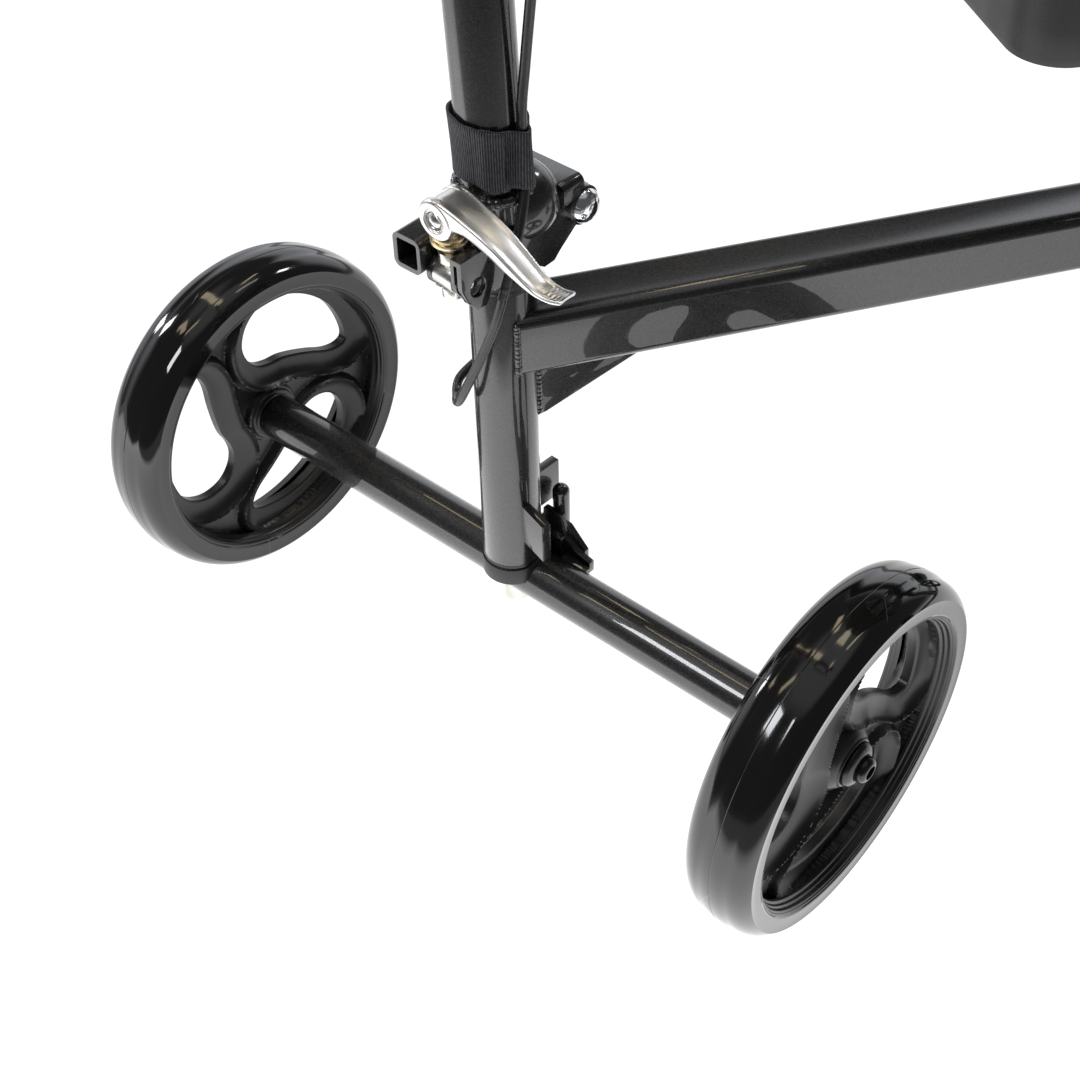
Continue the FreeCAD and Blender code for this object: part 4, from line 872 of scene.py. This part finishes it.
def hinge_pins():
    """Domed fold bolt with its nut, and the pin of the swing bolt."""
    head = [(FOLD_X1 - 0.5, 8.3), (FOLD_X1 + 1.2, 8.4), (FOLD_X1 + 2.0, 8.0), (FOLD_X1 + 3.6, 7.0),
            (FOLD_X1 + 4.6, 5.6), (FOLD_X1 + 5.3, 3.6), (FOLD_X1 + 5.55, 1.6), (FOLD_X1 + 5.6, 0.01)]
    shank = [(FOLD_X0 - 5.5, 0.01), (FOLD_X0 - 5.5, 3.6), (FOLD_X0 - 5.0, 4.0), (FOLD_X1, 4.0)]
    nut = [(FOLD_X0, 4.0), (FOLD_X0, 7.2), (FOLD_X0 - 4.6, 7.2), (FOLD_X0 - 5.0, 6.4), (FOLD_X0 - 5.0, 4.0)]
    fold = merged(lathe(rounded(head, 0.5, 4), 72), lathe(shank, 32), lathe(nut, 6))
    swing = [(-9.0, 0.01), (-9.0, 3.6), (11.6, 3.6), (12.4, 3.1), (12.7, 0.01)]
    swing_pin = lathe(rounded(swing, 0.4, 3), 40)
    return merged(shifted(fold, Matrix.Translation((0, FOLD_Y, FOLD_Z))),
                  shifted(swing_pin, Matrix.Translation((SWING_X, SWING_Y, SWING_Z))))


pins = add("hinge_bolt_and_pin", hinge_pins(), CHROME, "steer", "steerer", ["hinge_pins"], 40)


# ---- grips -----------------------------------------------------------------------------------------
def grip(side):
    """Ribbed foam grip with a flange at its inner end."""
    inner = Vector((side * 149.0, SWEEP * 0.22 + 1.0, BAR_Z + BAR_RISE))
    outer = Vector((side * BAR_HALF, SWEEP, BAR_Z + BAR_RISE))
    long = (outer - inner).length + 3.0
    profile = [(0.0, 11.3), (0.0, 19.0), (1.0, 19.6), (3.0, 19.6), (4.2, 18.6), (5.2, 15.6), (8.0, 15.2)]
    count = 26
    for n in range(count):
        a = 8.0 + (long - 16.0) * n / (count - 1)
        swell = 0.35 * math.sin(math.pi * n / (count - 1))
        profile += [(a + step, r + swell) for step, r in ((0, 14.6), (1.4, 15.2), (2.4, 15.2), (3.4, 14.6))]
    profile += [(long - 3.4, 15.4), (long - 1.6, 15.2), (long - 0.4, 13.6), (long, 10.0), (long, 0.01)]
    turn = (outer - inner).to_track_quat("X", "Z").to_matrix().to_4x4()
    return shifted(lathe(rounded(profile, 0.4, 2), 64), Matrix.Translation(inner) @ turn)


for name, side in (("left_grip", 1), ("right_grip", -1)):
    made = add(name + "_ribbed", grip(side), FOAM, "lean", "handlebar_unit", [name], 45)


# ---- knee pad ---------------------------------------------------------------------------------------
def plan(half_x, y0, y1, corner, pull=0.0, per_corner=12, per_side=24):
    """Rounded rectangle outline whose sides draw in between the corners."""
    out = []
    middle = (y0 + y1) / 2
    half_y = (y1 - y0) / 2
    signs = ((1, 1), (-1, 1), (-1, -1), (1, -1))

    def on_corner(turn, degrees):
        sx, sy = signs[turn % 4]
        a = math.radians(degrees)
        return (sx * (half_x - corner) + corner * math.cos(a),
                middle + sy * (half_y - corner) + corner * math.sin(a))

    for turn in range(4):
        out += [on_corner(turn, 90 * turn + 90 * k / per_corner) for k in range(per_corner + 1)]
        square = 90 * turn + 90
        start, end = Vector(out[-1]), Vector(on_corner(turn + 1, square))
        inward = Vector((-math.cos(math.radians(square)), -math.sin(math.radians(square))))
        for k in range(1, per_side):
            t = k / per_side
            out.append(tuple(start.lerp(end, t) + inward * pull * math.sin(math.pi * t)))
    return out


def loops(rings):
    """Skins a stack of closed outlines and closes both ends with a fan."""
    points = [p for ring in rings for p in ring]
    count = len(rings[0])
    faces = []
    for n in range(len(rings) - 1):
        for k in range(count):
            m = (k + 1) % count
            faces.append((n * count + k, n * count + m, (n + 1) * count + m, (n + 1) * count + k))
    for base, flip in ((0, True), ((len(rings) - 1) * count, False)):
        centre = len(points)
        ring = points[base:base + count]
        points.append(tuple(sum(p[i] for p in ring) / count for i in range(3)))
        for k in range(count):
            tri = (base + k, base + (k + 1) % count, centre)
            faces.append(tuple(reversed(tri)) if flip else tri)
    return points, faces


def pan():
    """Moulded tray under the cushion: drafted sides, a rolled bottom edge and a lip."""
    rings = []
    top = PAD_Z0 + PAD_PAN_H
    steps = ((40, PAD_Z0, 18), (16, PAD_Z0, 18), (9, PAD_Z0 + 0.8, 20), (5, PAD_Z0 + 3.2, 22),
             (3.2, PAD_Z0 + 7.5, 22), (2.2, PAD_Z0 + 20, 22), (1.0, top - 7, 22), (0.1, top - 6, 22),
             (0.0, top - 1.0, 22), (0.8, top, 21), (3.6, top, 19), (4.2, top - 2, 18),
             (5.5, PAD_Z0 + 12, 18), (9.0, PAD_Z0 + 5.5, 16), (44, PAD_Z0 + 5.2, 12))
    for inset, z, corner in steps:
        outline = plan(PAD_HALF_W - inset, PAD_Y0 + inset, PAD_Y1 - inset, corner)
        rings.append([(x, y, z) for x, y in outline])
    return loops(rings)


tray = add("pad_tray", pan(), PAD_PLASTIC, "frame", "knee_pad", ["pad_pan"], 32)


def cushion_start():
    """The cushion's cover before it is filled: flat below, crowned above, sides drawn in."""
    rings = []
    base = PAD_Z0 + PAD_PAN_H + 0.4
    rise = PAD_TOP - base
    for inset, up in ((70, 0.0), (30, 0.0), (6, 0.0), (3.0, 0.05), (2.2, 0.3), (3.0, 0.55),
                      (6.5, 0.76), (14, 0.88), (30, 0.94), (60, 0.97), (84, 0.98)):
        corner = max(4.0, 30.0 - inset * 0.4)
        outline = plan(PAD_HALF_W - inset, PAD_Y0 + inset, PAD_Y1 - inset, corner, 2.2 if up < 0.9 else 0.5)
        rings.append([(x, y, base + rise * up) for x, y in outline])
    return loops(rings)


def filled(obj, cap, voxel):
    """Lets the cover take up its filling under light pressure, moving no point further than the cap."""
    with bpy.context.temp_override(object=obj, active_object=obj, selected_objects=[obj]):
        shrink = obj.modifiers.new("even", "REMESH")
        shrink.mode, shrink.voxel_size = "VOXEL", voxel
        bpy.ops.object.modifier_apply(modifier=shrink.name)
        start = np.array([v.co[:] for v in obj.data.vertices])
        cloth = obj.modifiers.new("fill", "CLOTH")
        cloth.settings.quality = 6
        cloth.settings.use_pressure = True
        cloth.settings.uniform_pressure_force = 4.0
        cloth.settings.tension_stiffness = cloth.settings.compression_stiffness = 12
        cloth.settings.bending_stiffness = 0.6
        cloth.settings.effector_weights.gravity = 0
        cloth.point_cache.frame_start, cloth.point_cache.frame_end = 1, 20
        for n in range(1, 21):
            bpy.context.scene.frame_set(n)
        shape = obj.evaluated_get(bpy.context.evaluated_depsgraph_get())
        moved = np.array([v.co[:] for v in shape.data.vertices])
        obj.modifiers.remove(cloth)
        bpy.context.scene.frame_set(1)
        step = moved - start
        size = np.linalg.norm(step, axis=1)[:, None]
        step *= np.minimum(1, cap / np.maximum(size, 1e-9))
        top = start[:, 2].max() + cap
        moved = start + step
        moved[:, 2] = np.clip(moved[:, 2], start[:, 2].min(), top)
        for v, co in zip(obj.data.vertices, moved):
            v.co = co
        smooth = obj.modifiers.new("fine", "SUBSURF")
        smooth.levels = smooth.render_levels = 1
        bpy.ops.object.modifier_apply(modifier=smooth.name)


seat = add("pad_cushion_cover", cushion_start(), VINYL, "frame", None, ["pad_cushion"], 60)
filled(seat, 0.005, 0.006)
for face in seat.data.polygons:
    face.use_smooth = True
bpy.context.view_layer.update()
base_z = PAD_Z0 + PAD_PAN_H + 0.4


def on_cover(point):
    """The nearest point of the filled cover, in the frame's millimetres."""
    found = seat.closest_point_on_mesh(FRAME @ Vector(point))[1]
    return tuple(FRAME.inverted() @ found)


piping = []
for inset, up in ((2.4, 4.0), (13.0, PAD_TOP - base_z - 2.2)):
    outline = plan(PAD_HALF_W - inset, PAD_Y0 + inset, PAD_Y1 - inset, 30 - inset * 0.4, 2.2)
    ring = [on_cover((x, y, base_z + up)) for x, y in outline]
    piping.append(tube_along(np.array(ring + ring[:2]), 1.3, 10))
cord = add("pad_piping", merged(*piping), VINYL, "frame", "knee_pad", (), 60)
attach(seat, "knee_pad")


# ---- carried-over CAD nodes ------------------------------------------------------------------------
for name, obj in frame["nodes"].items():
    obj.data.materials.clear()
    obj.data.materials.append(BY_SLOT[SLOT_OF[name]])


# ---- stage, light and camera -----------------------------------------------------------------------
FLOOR_HALF = 6.0
BRIGHT_WAY = (0.84, -0.54, 0.0)      # the floor's painted glow grows brighter this way
VIEW_WAY = (0.949, -0.316, 0.0)      # towards the camera, along the floor
LAMP_AIM = (0, -0.15, 0.2)


def stage():
    """A pale floor that glows instead of being lit. The glow that reflections see is a painted pool of
    light:
    brighter towards BRIGHT_WAY, fading away from the object and past the near edge of the floor."""
    corners = [(sx * FLOOR_HALF, sy * FLOOR_HALF, 0) for sx, sy in ((-1, -1), (1, -1), (1, 1), (-1, 1))]
    floor = add("floor", (corners, [(0, 1, 2, 3)]), None, Matrix.Identity(4), None)
    f = Finish("floor_painted_glow", (0.9, 0.9, 0.9), 0.9)

    def measured(operation, way=None):
        made = f.node("ShaderNodeVectorMath")
        made.operation = operation
        f.link(f.place, made.inputs[0])
        if way:
            made.inputs[1].default_value = way
        return made.outputs["Value"]

    # painted pool of light in the floor's glow: brighter towards BRIGHT_WAY, dimmer away from the centre
    # and towards the camera's side
    lit = f.spread(measured("DOT_PRODUCT", BRIGHT_WAY), 1.1, 2.6, 0.0, 0.55)
    fade = f.spread(measured("LENGTH"), 1.0, 0.25, 1.25, 1.9)
    edge = f.spread(measured("DOT_PRODUCT", VIEW_WAY), 1.0, 0.15, 0.42, 0.56)
    painted_floor_glow = f.join("MULTIPLY", f.join("MULTIPLY", lit, fade), edge)
    seen = f.spread(f.node("ShaderNodeLightPath").outputs["Is Camera Ray"], 0.0, 1.15)
    glow = f.node("ShaderNodeEmission", Color=(1, 1, 1, 1))
    f.link(f.join("MAXIMUM", painted_floor_glow, seen), glow.inputs["Strength"])
    mix = f.node("ShaderNodeMixShader", Fac=0.92)
    out = f.tree.nodes["Material Output"]
    f.link(f.surface.outputs["BSDF"], mix.inputs[1])
    f.link(glow.outputs["Emission"], mix.inputs[2])
    f.link(mix.outputs["Shader"], out.inputs["Surface"])
    f.tint(f.noise(3, 2.0), (0.88, 0.88, 0.88), (0.92, 0.92, 0.92))
    floor.data.materials.clear()
    floor.data.materials.append(f.material)


stage()


def toward(azimuth, elevation, distance):
    az, el = math.radians(azimuth), math.radians(elevation)
    return Vector((math.sin(az) * math.cos(el), -math.cos(az) * math.cos(el), math.sin(el))) * distance


def lamp(name, spot, width, glow, colour=(1, 1, 1), tall=None):
    """An area lamp whose face has the given brightness."""
    data = bpy.data.lights.new(name, "AREA")
    data.shape = "RECTANGLE"
    data.size, data.size_y = width, tall or width
    data.energy = glow * math.pi * data.size * data.size_y
    data.color = colour
    obj = bpy.data.objects.new(name, data)
    bpy.context.scene.collection.objects.link(obj)
    obj.location = Vector(spot) + Vector(LAMP_AIM)
    obj.rotation_euler = (Vector(LAMP_AIM) - obj.location).to_track_quat("-Z", "Y").to_euler()


def room():
    """Dim room with a pale wall and a soft ceiling for the reflections, and a white backdrop."""
    world = bpy.data.worlds.new("room")
    world.use_nodes = True
    bpy.context.scene.world = world
    tree = world.node_tree
    background = tree.nodes["Background"]
    background.inputs["Color"].default_value = (0.93, 0.95, 1.0, 1)
    place = tree.nodes.new("ShaderNodeTexCoord")
    split = tree.nodes.new("ShaderNodeSeparateXYZ")
    tree.links.new(place.outputs["Generated"], split.inputs["Vector"])

    def ramp(axis, start, end, low, high):
        """A soft change between two heights or sides of the sky."""
        out = spread(tree, split.outputs[axis], low, high, start, end)
        out.node.interpolation_type = "SMOOTHSTEP"
        return out

    wall = join(tree, "MULTIPLY", ramp("X", -0.25, -0.6, 0.0, 1.0), ramp("Z", 0.38, 0.55, 1.0, 0.0))
    ceiling = ramp("Z", 0.8, 0.95, 0.1, 0.55)
    seen = tree.nodes.new("ShaderNodeLightPath").outputs["Is Camera Ray"]
    lit = join(tree, "MAXIMUM", join(tree, "ADD", wall, ceiling), seen)
    tree.links.new(lit, background.inputs["Strength"])


room()
lamp("key", toward(20, 47, 2.3), 0.6, 15, (0.95, 0.97, 1.0))
lamp("fill", toward(-39, 30, 2.6), 0.3, 22, (0.95, 0.97, 1.0), 0.5)
lamp("rim_light", toward(-157, 41, 2.6), 0.34, 22, (0.97, 0.98, 1.0))
for n, (x, y) in enumerate(((-0.5, -1.5), (-0.5, -0.3), (-0.5, 0.9), (-1.5, -0.9), (-1.5, 0.5))):
    lamp(f"tube_{n}", (x, y, 2.6), 0.25, 4, (1, 0.84, 0.56), 0.8)

# the view: turned, raised and rolled, with the picture centre shifted off the lens axis
VIEW_AZ, VIEW_EL, VIEW_ROLL = 71.54, 45.115, 2.619
VIEW_SPOT = (0.64237, -0.3595, 0.75309)
LENS_MM, SHIFT_X, SHIFT_Y = 57.0, -0.1185, 0.0317
camera = bpy.data.objects.new("camera", bpy.data.cameras.new("camera"))
bpy.context.scene.collection.objects.link(camera)
bpy.context.scene.camera = camera
camera.data.sensor_width = 36.0
camera.data.lens = LENS_MM
camera.data.shift_x = SHIFT_X
camera.data.shift_y = SHIFT_Y
back = toward(VIEW_AZ, VIEW_EL, 1.0)
level = (-back).cross(Vector((0, 0, 1))).normalized()
upright_way = level.cross(-back)
roll = math.radians(VIEW_ROLL)
right = level * math.cos(roll) + upright_way * math.sin(roll)
up = upright_way * math.cos(roll) - level * math.sin(roll)
turned = Matrix((right, up, back)).transposed().to_4x4()
camera.matrix_world = Matrix.Translation(VIEW_SPOT) @ turned
camera.data.clip_start = 0.02
bpy.context.scene.view_settings.view_transform = "Standard"
